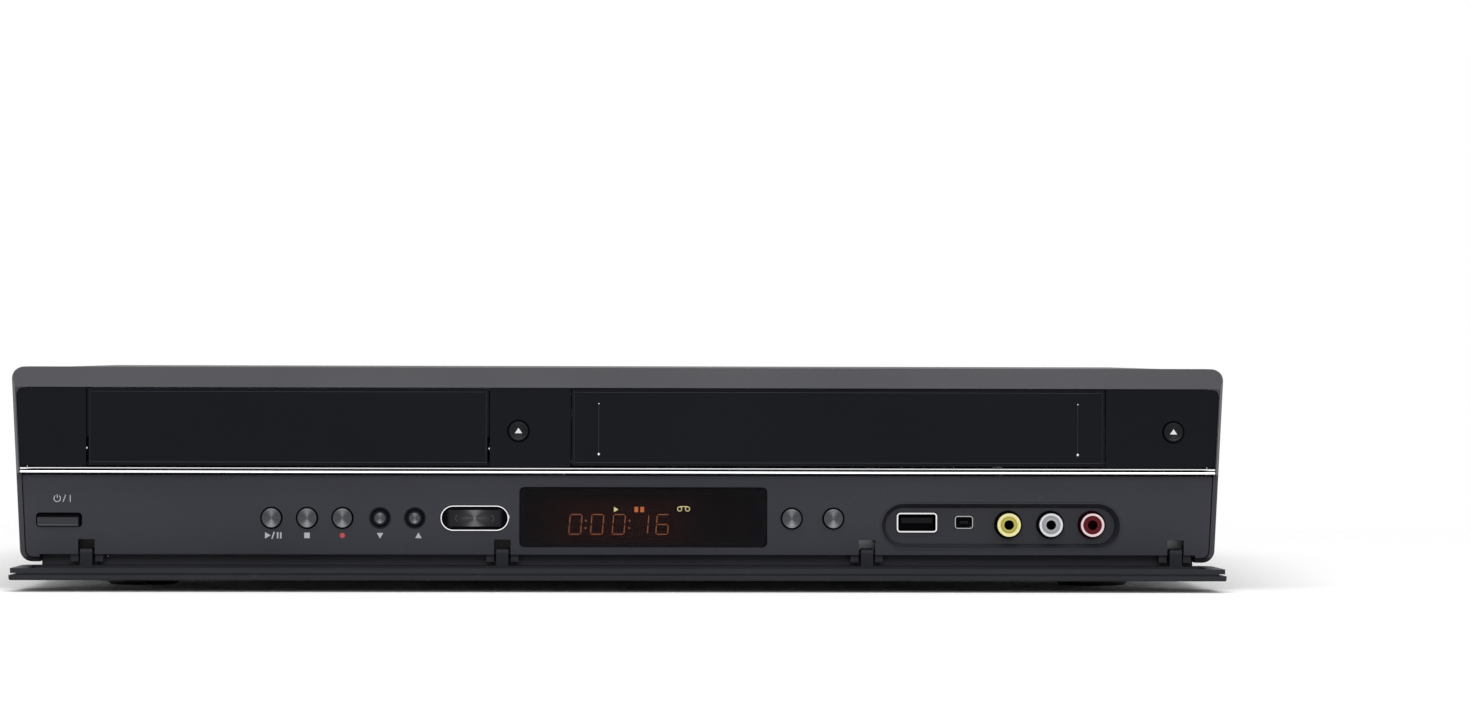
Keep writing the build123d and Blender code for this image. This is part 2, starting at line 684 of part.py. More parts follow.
def make_front_board():
    back = front_board_face + board_thickness
    board = block(board_left, jack_left - 8, front_board_face, back, board_low, board_high)
    board += block(jack_left - 9, board_right, front_board_face, back, 34.5, board_high)
    # tabs for the two eject switches
    board += block(disc_eject_x - 5.5, disc_eject_x + 5.5, front_board_face, back,
                   board_high - 1, eject_z + 5)
    board += block(tape_eject_x - 8, board_right, front_board_face, back, board_high - 1, eject_z + 5)
    switch_front = front_board_face - switch_depth
    for x, z, _ in buttons.values():
        board += block(x - 3, x + 3, switch_front, front_board_face + 0.1, z - 3, z + 3)
    for x, z in ((dubbing_x, button_level), (power_x + 1.5, power_z)):
        board += block(x - 3, x + 3, switch_front, front_board_face + 0.1, z - 2, z + 2)
    for x in (disc_eject_x, tape_eject_x):
        board += block(x - 3, x + 3, switch_front, front_board_face + 0.1, eject_z - 3, eject_z + 3)
    return board


# ---------------------------------------------------------------- case and rear

def make_chassis_base():
    floor_top = body_bottom + sheet
    tray = block(-inner_half, inner_half, chassis_front, rear_face - sheet - joint_gap,
                 body_bottom, floor_top)
    for side in (-1, 1):
        ends = sorted((side * inner_half, side * (inner_half - sheet)))
        tray += block(ends[0], ends[1], chassis_front, rear_face - sheet - joint_gap, body_bottom, 28)
    tray += block(-inner_half, inner_half, chassis_front, chassis_front + sheet, body_bottom, 22)
    for x, y in deck_legs:
        tray += rod_z(4, x, y, floor_top - 0.1, plate_low)
    for x, y in board_legs:
        tray += rod_z(3, x, y, floor_top - 0.1, main_board_level)
    for x, y in power_legs:
        tray += rod_z(3, x, y, floor_top - 0.1, power_board_level)
    for side in (-1, 1):
        for y in drive_leg_rows:
            tray += rod_z(4, drive_x + side * drive_leg_offset, y, floor_top - 0.1, drive_low)
    for side in (-1, 1):
        for y in side_screws:
            ends = sorted((side * (inner_half - 4), side * inner_half))
            tray += rod_x(3, y, screw_level, ends[0], ends[1])
            hole = sorted((side * (inner_half - 5), side * (inner_half + 1)))
            tray -= rod_x(screw_radius + 0.1, y, screw_level, hole[0], hole[1])
    return tray


def make_top_cover():
    cover = block(-cover_half, cover_half, chassis_front, rear_face, cover_low, cover_top)
    cover = fillet(cover.edges().filter_by(Axis.Y).group_by(Axis.Z)[-1], 2.0)
    inside = cover_half - cover_sheet
    cover -= block(-inside, inside, chassis_front - 1, rear_face + 1, 0, cover_top - cover_sheet)
    # vent slots along both sides, towards the back
    for row in range(4):
        for column in range(9):
            y = 170 + column * 15
            z = 38 + row * 8
            slot = Plane.YZ * (Pos(y, z) * SlotOverall(10, 2.5))
            cover -= extrude(slot, amount=cover_half + 5, both=True)
    for side in (-1, 1):
        for y in side_screws:
            ends = sorted((side * (cover_half - 3), side * (cover_half + 1)))
            cover -= rod_x(screw_radius + 0.1, y, screw_level, ends[0], ends[1])
    return cover


def make_cover_screws():
    screws = []
    for side in (-1, 1):
        for y in side_screws:
            head = sorted((side * cover_half, side * (cover_half + screw_head_height)))
            shank = sorted((side * (cover_half - 5), side * (cover_half + 0.1)))
            screw = rod_x(screw_head, y, screw_level, head[0], head[1])
            screws.append(screw + rod_x(screw_radius, y, screw_level, shank[0], shank[1]))
    for x in rear_screws:
        screw = rod_y(screw_head, x, rear_screw_level, rear_face, rear_face + screw_head_height)
        screw += rod_y(screw_radius, x, rear_screw_level, rear_face - 4, rear_face + 0.1)
        screws.append(screw)
    return Compound(screws)


def make_rear_panel():
    front = rear_face - sheet
    panel = block(-inner_half, inner_half, front, rear_face,
                  body_bottom + sheet + joint_gap, cover_top - cover_sheet - joint_gap)
    for x in rear_screws:
        panel -= rod_y(screw_radius + 0.1, x, rear_screw_level, front - 1, rear_face + 1)
    hole = fan_size / 2 - 1.5
    panel -= rod_y(hole, fan_x, fan_z, front - 1, rear_face + 1)
    # finger guard across the fan hole
    for radius in (6.0, 12.5):
        ring = Pos(fan_x, fan_z) * (Circle(radius + 0.6) - Circle(radius - 0.6))
        panel += front_plate(ring, front, rear_face)
    for angle in (45, 135):
        bar = Pos(fan_x, fan_z) * Rot(0, 0, angle) * Rectangle(2 * hole + 1, 1.6)
        panel += front_plate(bar, front, rear_face)
    play = 2 * rear_gap
    inlet_hole = stadium(inlet_x, inlet_z, inlet_wide + play, inlet_high + play)
    panel -= front_plate(inlet_hole, front - 1, rear_face + 1)
    for z in rear_jack_rows:
        panel -= rod_y(aerial_radius + rear_gap, tuner_x, z, front - 1, rear_face + 1)
        scart_hole = rounded_at(scart_x, z - 2, scart_wide + play, scart_high + play, 1)
        panel -= front_plate(scart_hole, front - 1, rear_face + 1)
        for x in rear_jack_x:
            panel -= rod_y(phono_radius + rear_gap, x, z, front - 1, rear_face + 1)
    hole = rounded_at(digital_x, digital_z, digital_wide + play, digital_high + play, 0.8)
    panel -= front_plate(hole, front - 1, rear_face + 1)
    return panel


def make_feet():
    feet = []
    for x, y in foot_places:
        foot = rod_z(foot_radius, x, y, 0, body_bottom)
        foot = chamfer(foot.faces().sort_by(Axis.Z)[0].edges(), 1.0)
        foot -= rod_z(foot_radius - 6, x, y, -1, foot_sink)
        feet.append(foot)
    return Compound(feet)


def make_main_board():
    top = main_board_level + board_thickness
    board = block(-84, board_edge, 242, 338, main_board_level, top)
    board += block(-2, 84, 327, rear_face - sheet, top - 0.1, 58)
    for z in rear_jack_rows:
        for x in rear_jack_x:
            board += rod_y(phono_radius, x, z, rear_face - 2, rear_face + 8)
            board -= rod_y(phono_bore, x, z, rear_face, rear_face + 9)
    # digital video output
    shell = rounded_at(digital_x, digital_z, digital_wide, digital_high, 0.7)
    board += front_plate(shell, rear_face - 15, rear_face + 1.2)
    inside = rounded_at(digital_x, digital_z, digital_wide - 1.6, digital_high - 1.6, 0.4)
    board -= front_plate(inside, rear_face - 9, rear_face + 2)
    board += block(digital_x - 7, digital_x + 7, rear_face - 15, rear_face - 5, top - 0.1, digital_z - 2)
    # chips, heat spreader and capacitors
    board += block(120, 150, 285, 315, top - 0.1, top + 2.5)
    for fin in range(7):
        board += block(121 + fin * 4.6, 122.4 + fin * 4.6, 286, 314, top + 2.4, top + 12)
    board += block(20, 44, 285, 305, top - 0.1, top + 2)
    for x, y in ((170, 290), (184, 290), (170, 306), (-20, 290)):
        board += rod_z(5, x, y, top - 0.1, top + 14)
    return board


def make_power_board():
    top = power_board_level + board_thickness
    board = block(-board_edge, -111, 200, 330, power_board_level, top)
    # transformer, capacitors and two finned plates
    board += block(-186, -150, 236, 268, top - 0.1, top + 28)
    board += block(-180, -156, 230, 274, top + 5, top + 20)
    for x, y, radius, height in ((-196, 216, 7, 30), (-128, 222, 9, 32),
                                 (-132, 248, 6, 22), (-120, 262, 6, 22)):
        board += rod_z(radius, x, y, top - 0.1, top + height)
    for x in (-144, -200):
        board += block(x - 1, x + 1, 275, 315, top - 0.1, top + 26)
    return board


def make_mains_inlet():
    body = front_plate(rounded_at(inlet_x, inlet_z, 22, 12, 1.5), rear_face - 16, rear_face - sheet)
    nose = stadium(inlet_x, inlet_z, inlet_wide, inlet_high)
    pole = 3.3
    inlet = body + front_plate(nose, rear_face - 3, rear_face + 2)
    hollow = Pos(inlet_x, inlet_z) * (Pos(-pole, 0) * Circle(3.4) + Pos(pole, 0) * Circle(3.4))
    inlet -= front_plate(hollow, rear_face - 12, rear_face + 3)
    for side in (-1, 1):
        inlet += rod_y(1.2, inlet_x + side * pole, inlet_z, rear_face - 12.5, rear_face - 3)
    inlet += block(inlet_x - 8, inlet_x + 8, rear_face - 15, rear_face - 4,
                   power_board_level + board_thickness, inlet_z - 5.9)
    return inlet


def make_tuner():
    can = block(tuner_x - 9, tuner_x + 9, rear_face - 58, rear_face - sheet, main_board_level + 3, 64)
    for z in rear_jack_rows:
        can += rod_y(aerial_radius - 0.2, tuner_x, z, rear_face - 2, rear_face + aerial_start + 0.1)
        can += rod_y(aerial_radius, tuner_x, z, rear_face + aerial_start, rear_face + aerial_reach)
        can -= rod_y(aerial_bore, tuner_x, z, rear_face - 1, rear_face + aerial_reach + 1)
        can += rod_y(aerial_pin, tuner_x, z, rear_face - 2, rear_face + aerial_reach - 3)
    # feet that stand on the base tray
    for x in (tuner_x - 8.5, tuner_x + 7.5):
        for y in (rear_face - 56, rear_face - 8):
            can += block(x, x + 1, y, y + 4, body_bottom + sheet, main_board_level + 3.1)
    return can


def make_scart_sockets():
    sockets = []
    for z in rear_jack_rows:
        middle = z - 2
        outline = rounded_at(scart_x, middle, scart_wide, scart_high, 0.8)
        socket = front_plate(outline, rear_face - 12, rear_face + 3)
        slanted_corner = Pos(20.6, -4.2) * Rot(0, 0, 45) * Rectangle(3, 9)
        opening = Pos(scart_x, middle) * (Rectangle(43.2, 10.4) - slanted_corner)
        socket -= front_plate(opening, rear_face - 8, rear_face + 4)
        socket += block(scart_x - 18.5, scart_x + 18.5, rear_face - 8.1, rear_face + 2,
                        middle - 1.4, middle + 1.4)
        sockets.append(socket)
    stand = block(scart_x - 23, scart_x + 23, rear_face - 24, rear_face - 11.9,
                  main_board_level + board_thickness, 54)
    return sockets[0] + sockets[1] + stand


def make_fan_frame():
    front, back = fan_front, fan_back
    half = fan_size / 2
    frame = front_plate(rounded_at(fan_x, fan_z, fan_size, fan_size, 2.5), front, back)
    frame -= rod_y(half - 1.5, fan_x, fan_z, front - 1, back + 1)
    for angle in (0, 90):
        bar = Pos(fan_x, fan_z) * Rot(0, 0, angle) * Rectangle(fan_size - 1, 2.4)
        frame += front_plate(bar, back - 1.5, back - 0.2)
    frame += rod_y(8, fan_x, fan_z, back - 1.5, back - 0.2)
    frame += rod_y(1.0, fan_x, fan_z, front + 1.0, back - 1.4)
    for x, z in ((-16, -16), (16, -16), (-16, 16), (16, 16)):
        frame -= rod_y(1.7, fan_x + x, fan_z + z, front - 1, back + 1)
    return frame


def make_fan_rotor():
    front, back = fan_front, fan_back
    rotor = rod_y(9, fan_x, fan_z, front + 0.4, back - 2.1)
    blade = Pos(0, 0, 13) * Rot(0, 0, 35) * Box(1.2, 6.2, 10)
    for step in range(7):
        rotor += Pos(fan_x, (front + back) / 2 - 1, fan_z) * Rot(0, step * 360 / 7, 0) * blade
    rotor -= rod_y(1.0 + running_gap, fan_x, fan_z, front + 0.9, back)
    return rotor


# ---------------------------------------------------------------- disc drive

def at_drive(x0, x1, y0, y1, z0, z1):
    return block(drive_x + x0, drive_x + x1, y0, y1, z0, z1)


def make_drive_frame():
    wall_top = drive_high - 0.5 - sheet
    frame = at_drive(-drive_half, drive_half, drive_front, drive_back, drive_low, wall_top)
    inside = drive_half - drive_wall
    floor = drive_low + 1.5
    frame -= at_drive(-inside, inside, drive_front + drive_wall, drive_back - drive_wall, floor, drive_high)
    # low front wall, so that the tray passes over it
    frame -= at_drive(-inside, inside, drive_front - 1, drive_front + drive_wall + 1, 45.5, drive_high)
    guide = 62.8
    for side in (-1, 1):
        ends = sorted((side * guide, side * (inside + 0.1)))
        frame += at_drive(ends[0], ends[1], drive_front, drive_back - 1, tray_low - 2.5, tray_low - 0.15)
        frame += at_drive(ends[0], ends[1], drive_front, drive_back - 1, tray_high + 0.3, tray_high + 1.8)
    # posts under the traverse deck and the gear's shaft
    for x, y in deck_posts:
        frame += rod_z(4, drive_x + x, y, floor - 0.1, deck_plate_low)
    frame += rod_z(gear_shaft, drive_x - gear_offset, gear_y, floor - 0.1, gear_high - 0.4)
    frame += rod_z(4, drive_x - gear_offset, gear_y, floor - 0.1, gear_low - 0.2)
    # loading motor beside the gear
    frame += rod_z(9, drive_x - 20, gear_y + 2, floor - 0.1, 46)
    return frame


def make_drive_cover():
    lid_low = drive_high - sheet - 0.5
    lid = at_drive(-drive_half, drive_half, drive_front, drive_back, lid_low, lid_low + sheet)
    lid += at_drive(-45, 45, disc_y - 14, disc_y + 14, bridge_low, bridge_high)
    for side in (-1, 1):
        ends = sorted((side * 43.5, side * 45))
        lid += at_drive(ends[0], ends[1], disc_y - 14, disc_y + 14, bridge_low, lid_low + 0.1)
    lid -= rod_z(clamper_neck + 0.3, drive_x, disc_y, bridge_low - 1, bridge_high + 1)
    return lid


def make_disc_clamper():
    puck = rod_z(12, drive_x, disc_y, turntable_top + 0.3, 59.6)
    puck += rod_z(clamper_neck, drive_x, disc_y, 59.5, 62.9)
    puck += rod_z(14, drive_x, disc_y, 62.8, 65)
    for angle in (0, 60, 120):
        puck += Pos(drive_x, disc_y, 65.3) * Rot(0, 0, angle) * Box(24, 1.5, 0.8)
    return puck


def make_disc_tray():
    tray = at_drive(-tray_half, tray_half, fascia_back, tray_back, tray_low, tray_high)
    tray -= rod_z(disc_well, drive_x, disc_y, tray_low + 3.0, tray_high + 1)
    tray -= rod_z(small_well, drive_x, disc_y, tray_low + 1.8, tray_high + 1)
    tray -= at_drive(-tray_slot, tray_slot, disc_y - tray_slot, tray_back + 1, tray_low - 1, tray_high + 1)
    tray -= rod_z(tray_slot, drive_x, disc_y - 1, tray_low - 1, tray_high + 1)
    # rack along the underside
    pitch = pi * gear_module
    pitch_line = -gear_offset - gear_module * gear_teeth / 2
    tip = pitch_line + gear_module
    root = pitch_line - 1.25 * gear_module
    rack_low = gear_low + 0.4
    back = root - 2.6
    tray += at_drive(back, root, gear_y - 10, gear_y + tray_travel + 2 * pitch, rack_low, tray_low + 0.1)
    lean = tan(radians(20))
    thickness = (pitch - 2 * backlash) / 4
    for step in range(-2, int(tray_travel / pitch) + 2):
        middle = gear_y + step * pitch
        low = thickness + (pitch_line - root) * lean
        high = thickness - (tip - pitch_line) * lean
        tooth = Polyline((drive_x + root - 0.1, middle - low), (drive_x + tip, middle - high),
                         (drive_x + tip, middle + high), (drive_x + root - 0.1, middle + low), close=True)
        tray += extrude(Plane.XY.offset(rack_low) * make_face(tooth), amount=tray_low + 0.1 - rack_low)
    return tray


def make_tray_gear():
    outline = gear_outline(gear_module, gear_teeth, backlash)
    gear = extrude(Plane.XY.offset(gear_low) * outline, amount=gear_high - gear_low)
    gear -= rod_z(gear_shaft + running_gap, 0, 0, gear_low - 1, gear_high + 1)
    return Pos(drive_x - gear_offset, gear_y, 0) * gear


def make_traverse_deck():
    deck = at_drive(-33, 33, 46, 151, deck_plate_low, deck_plate_high)
    deck -= at_drive(-17, 17, sled_front + 2, sled_back + sled_travel,
                     deck_plate_low - 1, deck_plate_high + 1)
    deck += rod_z(motor_radius, drive_x, disc_y, deck_plate_high - 0.1, motor_top)
    deck -= rod_z(spindle_radius + running_gap, drive_x, disc_y, deck_plate_low + 0.5, motor_top + 1)
    front = sled_front - 2
    back = sled_back + sled_travel + 2
    for side in (-1, 1):
        x = side * rod_spread
        ends = (x - 2.6, x + 2.6)
        deck += at_drive(ends[0], ends[1], front - 4, front, deck_plate_high - 0.1, rod_level + 2.6)
        deck += at_drive(ends[0], ends[1], back, back + 4, deck_plate_high - 0.1, rod_level + 2.6)
        deck += rod_y(rod_radius, drive_x + x, rod_level, front - 1, back + 1)
    return deck


def make_disc_turntable():
    table = rod_z(motor_radius, drive_x, disc_y, motor_top + 0.3, turntable_top - 1.5)
    table += rod_z(turntable_radius, drive_x, disc_y, turntable_top - 1.6, turntable_top)
    table += rod_z(spindle_radius, drive_x, disc_y, deck_plate_low + 1, motor_top + 1)
    return table


def make_pickup_sled():
    sled = at_drive(-rod_spread - 3.4, rod_spread + 3.4, sled_front, sled_back,
                    rod_level - 2.6, rod_level + 4.2)
    for side in (-1, 1):
        sled -= rod_y(rod_radius + running_gap, drive_x + side * rod_spread, rod_level,
                      sled_front - 1, sled_back + 1)
    middle = (sled_front + sled_back) / 2 - 1
    sled += rod_z(6, drive_x, middle, rod_level + 4.1, rod_level + 5.6)
    sled += rod_z(2.5, drive_x, middle, rod_level + 5.5, rod_level + 7.0)
    return sled


# ---------------------------------------------------------------- cassette deck

def both_sides(near, far, y0, y1, z0, z1):
    left = block(tape_x - far, tape_x - near, y0, y1, z0, z1)
    return left + block(tape_x + near, tape_x + far, y0, y1, z0, z1)


def make_deck_chassis():
    plate_half = bracket_outside
    deck = block(tape_x - plate_half, tape_x + plate_half, 28, 266, plate_low, plate_high)
    bracket_front, bracket_back = holder_front + 14, holder_back + 50
    deck += both_sides(bracket_inside, bracket_outside, bracket_front, bracket_back, plate_high - 0.1, 64)
    for y in carriage_pins:
        slot_y = y + carriage_travel / 2
        length = carriage_travel + 2 * (guide_pin + slot_gap)
        outline = SlotOverall(length, 2 * (guide_pin + slot_gap))
        slot = Plane.YZ * (Pos(slot_y, carriage_pin_level) * outline)
        for side in (-1, 1):
            start = tape_x + side * (bracket_inside + bracket_outside) / 2
            deck -= Pos(start, 0, 0) * extrude(slot, amount=2, both=True)
    for side in (-1, 1):
        deck += rod_z(reel_post, tape_x + side * reel_spread, reel_y, plate_high - 0.1, 34)
    # capstan bearing, pinch arm post, tape guides and the two fixed heads
    deck += rod_z(5, capstan_x, capstan_y, plate_high - 0.1, 38)
    deck -= rod_z(capstan_radius + running_gap, capstan_x, capstan_y, plate_low - 1, 39)
    deck += rod_z(pinch_post, pinch_pivot_x, pinch_pivot_y, plate_high - 0.1, 58)
    for x, y in ((14, 204), (36, 212), (112, 216), (104, 200)):
        deck += rod_z(2, x, y, plate_high - 0.1, 54)
        deck += rod_z(3.4, x, y, plate_high - 0.1, 38)
        deck += rod_z(3.4, x, y, 52, 54)
    deck += block(22, 30, 200, 207, plate_high - 0.1, 54)
    deck += block(116, 122, 204, 211, plate_high - 0.1, 54)
    return deck


def tilt_drum(shape):
    hinge_line = Axis((tape_x, drum_y, drum_gap_level), (1, 0, 0))
    return shape.rotate(hinge_line, drum_tilt)


def make_drum_base():
    drum = rod_z(drum_radius, tape_x, drum_y, 31, drum_gap_level)
    drum -= rod_z(drum_shaft + running_gap, tape_x, drum_y, 36, drum_gap_level + 1)
    drum = tilt_drum(drum)
    for angle in (90, 210, 330):
        x = tape_x + 22 * cos(radians(angle))
        y = drum_y + 22 * sin(radians(angle))
        drum += rod_z(4, x, y, plate_high, 38)
    return drum


def make_head_drum():
    low = drum_gap_level + 0.3
    drum = rod_z(drum_radius, tape_x, drum_y, low, low + 14)
    drum -= rod_z(drum_radius - 4, tape_x, drum_y, low + 10, low + 15)
    drum += rod_z(11, tape_x, drum_y, low + 9.9, low + 16)
    drum += rod_z(drum_shaft, tape_x, drum_y, drum_gap_level - 8, low + 1)
    return tilt_drum(drum)


def make_capstan():
    shaft = rod_z(capstan_radius, capstan_x, capstan_y, 17, 56)
    wheel = rod_z(flywheel_radius, capstan_x, capstan_y, 17, 21.5)
    wheel -= rod_z(flywheel_radius - 4, capstan_x, capstan_y, 19.5, 22)
    wheel += rod_z(6, capstan_x, capstan_y, 19.4, 23.9)
    return shaft + wheel


def make_reel(x):
    reel = rod_z(18, x, reel_y, plate_high + 0.6, plate_high + 3)
    reel += rod_z(9, x, reel_y, plate_high + 2.9, plate_high + 6)
    reel += rod_z(4.4, x, reel_y, plate_high + 5.9, 41)
    for angle in (0, 120, 240):
        fin = Pos(4.6, 0, 36.5) * Box(3.2, 1.4, 7)
        reel += Pos(x, reel_y, 0) * Rot(0, 0, angle) * fin
    reel -= rod_z(reel_post + running_gap, x, reel_y, plate_high, 34.4)
    return reel


def make_pinch_arm():
    boss = 4.2
    arm_low = 38.4
    arm = rod_z(boss, pinch_pivot_x, pinch_pivot_y, plate_high + 0.3, 44)
    length = sqrt((pinch_x - pinch_pivot_x) ** 2 + (pinch_y - pinch_pivot_y) ** 2)
    angle = degrees(atan((pinch_x - pinch_pivot_x) / (pinch_pivot_y - pinch_y)))
    bar = Pos(0, -length / 2, arm_low + 1) * Box(5, length, 2)
    arm += Pos(pinch_pivot_x, pinch_pivot_y, 0) * Rot(0, 0, angle) * bar
    arm += rod_z(2.6, pinch_x, pinch_y, arm_low, arm_low + 2)
    arm += rod_z(pinch_axle, pinch_x, pinch_y, arm_low, 56)
    arm -= rod_z(pinch_post + running_gap, pinch_pivot_x, pinch_pivot_y, plate_high, 45)
    return arm


def make_pinch_roller():
    roller = rod_z(pinch_radius, pinch_x, pinch_y, 41, 55)
    return roller - rod_z(pinch_axle + running_gap, pinch_x, pinch_y, 40, 56)


def make_cassette_carriage():
    plates = both_sides(carriage_inside, carriage_outside, holder_front + 14, holder_back + 6, 32, 62)
    bar_front = holder_back + 2
    plates += block(tape_x - carriage_outside, tape_x + carriage_outside, bar_front, bar_front + 4, 58, 62)
    slot_radius = guide_pin + slot_gap
    top = holder_pin_level + slot_radius
    bottom = holder_pin_level - holder_drop - slot_radius
    middle = (top + bottom) / 2
    for y in holder_pins:
        slot = Plane.YZ * (Pos(y, middle) * Rot(0, 0, 90) * SlotOverall(top - bottom, 2 * slot_radius))
        for side in (-1, 1):
            start = tape_x + side * (carriage_inside + carriage_outside) / 2
            plates -= Pos(start, 0, 0) * extrude(slot, amount=2, both=True)
    for y in carriage_pins:
        for side in (-1, 1):
            ends = sorted((tape_x + side * (carriage_outside - 0.5), tape_x + side * (bracket_outside - 0.1)))
            plates += rod_x(guide_pin, y, carriage_pin_level, ends[0], ends[1])
    return plates


def make_cassette_holder():
    holder = both_sides(holder_inside, holder_outside, holder_front, holder_back,
                        ledge_level, holder_top + sheet)
    holder += both_sides(holder_inside - 9, holder_outside, holder_front, holder_back,
                         ledge_level, ledge_level + sheet)
    top = block(tape_x - holder_outside, tape_x + holder_outside, holder_front, holder_back,
                holder_top, holder_top + sheet)
    holder += top
    window = block(tape_x - 60, tape_x + 60, holder_front + 30, holder_back - 20,
                   holder_top - 1, holder_top + 2)
    holder -= window
    for y in holder_pins:
        for side in (-1, 1):
            ends = sorted((tape_x + side * (holder_outside - 0.1), tape_x + side * (carriage_outside - 0.1)))
            holder += rod_x(guide_pin, y, holder_pin_level, ends[0], ends[1])
    return holder


# ---------------------------------------------------------------- the whole object

nodes["front_bezel"] = make_front_bezel()
nodes["upper_fascia"] = make_upper_fascia()
nodes["disc_door"] = make_disc_door()
nodes["cassette_door"] = make_cassette_door()
nodes["chrome_strip"] = make_chrome_strip()
nodes["lower_panel"] = make_lower_panel()
nodes["dubbing_ring"] = make_dubbing_ring()
nodes["display_window"] = make_display_window()
nodes["display_module"] = make_display_module()
nodes["jack_plate"] = make_jack_plate()
nodes["usb_port"] = make_usb_port()
nodes["dv_port"] = make_dv_port()
for jack_name, jack_place in phono_places.items():
    nodes[jack_name] = make_phono_jack(jack_place)
nodes["front_flap"] = make_front_flap()
for button_name, (button_x, button_z, button_radius) in buttons.items():
    nodes[button_name] = make_round_button(button_x, button_z, button_radius, lower_face, lower_back)
for button_name, button_x in (("disc_eject_button", disc_eject_x), ("tape_eject_button", tape_eject_x)):
    nodes[button_name] = make_round_button(button_x, eject_z, round_button, fascia_face, fascia_back)
nodes["dubbing_button"] = make_dubbing_button()
nodes["power_button"] = make_power_button()
nodes["front_board"] = make_front_board()
nodes["chassis_base"] = make_chassis_base()
nodes["top_cover"] = make_top_cover()
nodes["cover_screws"] = make_cover_screws()
nodes["rear_panel"] = make_rear_panel()
nodes["feet"] = make_feet()
nodes["main_board"] = make_main_board()
nodes["power_board"] = make_power_board()
nodes["mains_inlet"] = make_mains_inlet()
nodes["tuner"] = make_tuner()
nodes["scart_sockets"] = make_scart_sockets()
nodes["fan_frame"] = make_fan_frame()
nodes["fan_rotor"] = make_fan_rotor()
nodes["drive_frame"] = make_drive_frame()
nodes["drive_cover"] = make_drive_cover()
nodes["disc_clamper"] = make_disc_clamper()
nodes["disc_tray"] = make_disc_tray()
nodes["tray_gear"] = make_tray_gear()
nodes["traverse_deck"] = make_traverse_deck()
nodes["disc_turntable"] = make_disc_turntable()
nodes["pickup_sled"] = make_pickup_sled()
nodes["deck_chassis"] = make_deck_chassis()
nodes["drum_base"] = make_drum_base()
nodes["head_drum"] = make_head_drum()
nodes["capstan"] = make_capstan()
nodes["supply_reel"] = make_reel(tape_x - reel_spread)
nodes["takeup_reel"] = make_reel(tape_x + reel_spread)
nodes["pinch_arm"] = make_pinch_arm()
nodes["pinch_roller"] = make_pinch_roller()
nodes["cassette_carriage"] = make_cassette_carriage()
nodes["cassette_holder"] = make_cassette_holder()

for name, shape in nodes.items():
    solids = [Pos(0, shift, 0) * solid for solid in shape.solids()]
    export_step(Compound(solids) if len(solids) > 1 else solids[0], "parts/" + name + ".step")

print("nodes", len(nodes), "shift", round(shift, 3))
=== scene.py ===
import json
import math
import bpy
from mathutils import Matrix, Vector


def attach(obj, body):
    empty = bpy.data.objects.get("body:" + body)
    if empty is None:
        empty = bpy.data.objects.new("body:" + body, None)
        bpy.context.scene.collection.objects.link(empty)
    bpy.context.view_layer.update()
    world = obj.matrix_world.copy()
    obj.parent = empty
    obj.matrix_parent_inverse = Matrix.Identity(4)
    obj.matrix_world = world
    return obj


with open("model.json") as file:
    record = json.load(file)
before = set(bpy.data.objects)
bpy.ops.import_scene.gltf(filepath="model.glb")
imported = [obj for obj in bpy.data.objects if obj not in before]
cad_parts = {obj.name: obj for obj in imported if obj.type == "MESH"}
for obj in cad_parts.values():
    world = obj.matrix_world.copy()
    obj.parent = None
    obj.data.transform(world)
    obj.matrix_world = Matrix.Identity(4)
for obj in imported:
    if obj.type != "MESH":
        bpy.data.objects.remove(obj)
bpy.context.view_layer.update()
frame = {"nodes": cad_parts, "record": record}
nodes = frame["nodes"]
print("frame loaded", len(nodes), "nodes")

mm = 0.001
quarter = math.pi / 2
rowShift = -167.15      # the front of the upper face lies this far in front of the origin, in mm

# places on the front, in mm
lowerFace, upperFace = 4.7, 0.6
buttonLevel, jackLevel, ejectLevel = 25.1, 22.9, 56.1
powerX, dubbingX, discEjectX, tapeEjectX = -198.15, -51.3, -35.8, 196.6
discDoorEdges, cassetteDoorEdges = (-187.9, -46.3), (-17.0, 172.2)
grooveLeft, grooveRight = -7.4, 162.6       # two upright grooves in the cassette door
doorMiddle, doorHalf = 57.4, 13.45


def place(x, y, z):
    # millimetres as the maker's drawing gives them, y from the front of the upper face
    return Vector((x * mm, (y + rowShift) * mm, z * mm))


def tone(red, green, blue):
    # a screen colour of 0 to 255 as linear light
    def lift(value):
        value = value / 255
        return value / 12.92 if value <= 0.04045 else ((value + 0.055) / 1.055) ** 2.4
    return (lift(red), lift(green), lift(blue), 1.0)


# a number that changes over a surface, so that plain sums on it add the shader's own sums
class Value:
    def __init__(self, finish, socket):
        self.finish = finish
        self.socket = socket

    def maths(self, operation, *others):
        sockets = {0: self}
        for index, other in enumerate(others):
            sockets[index + 1] = other
        return self.finish.node("ShaderNodeMath", {"operation": operation}, sockets)

    def __add__(self, other):
        return self.maths("ADD", other)

    __radd__ = __add__

    def __mul__(self, other):
        return self.maths("MULTIPLY", other)

    __rmul__ = __mul__

    def __sub__(self, other):
        return self.maths("SUBTRACT", other)

    def __rsub__(self, other):
        return self.maths("MULTIPLY", -1.0).maths("ADD", other)

    def __truediv__(self, other):
        return self.maths("DIVIDE", other)

    def __pow__(self, other):
        return self.maths("POWER", other)

    def size(self):
        return self.maths("ABSOLUTE")

    def sine(self):
        return self.maths("SINE")

    def most(self, other):
        return self.maths("MAXIMUM", other)

    def step(self, start, end):
        # 0 at start, 1 at end, held outside
        return self.finish.node(
            "ShaderNodeMapRange", {"clamp": True, "interpolation_type": "SMOOTHSTEP"},
            {"Value": self, "From Min": start, "From Max": end, "To Min": 0.0, "To Max": 1.0})


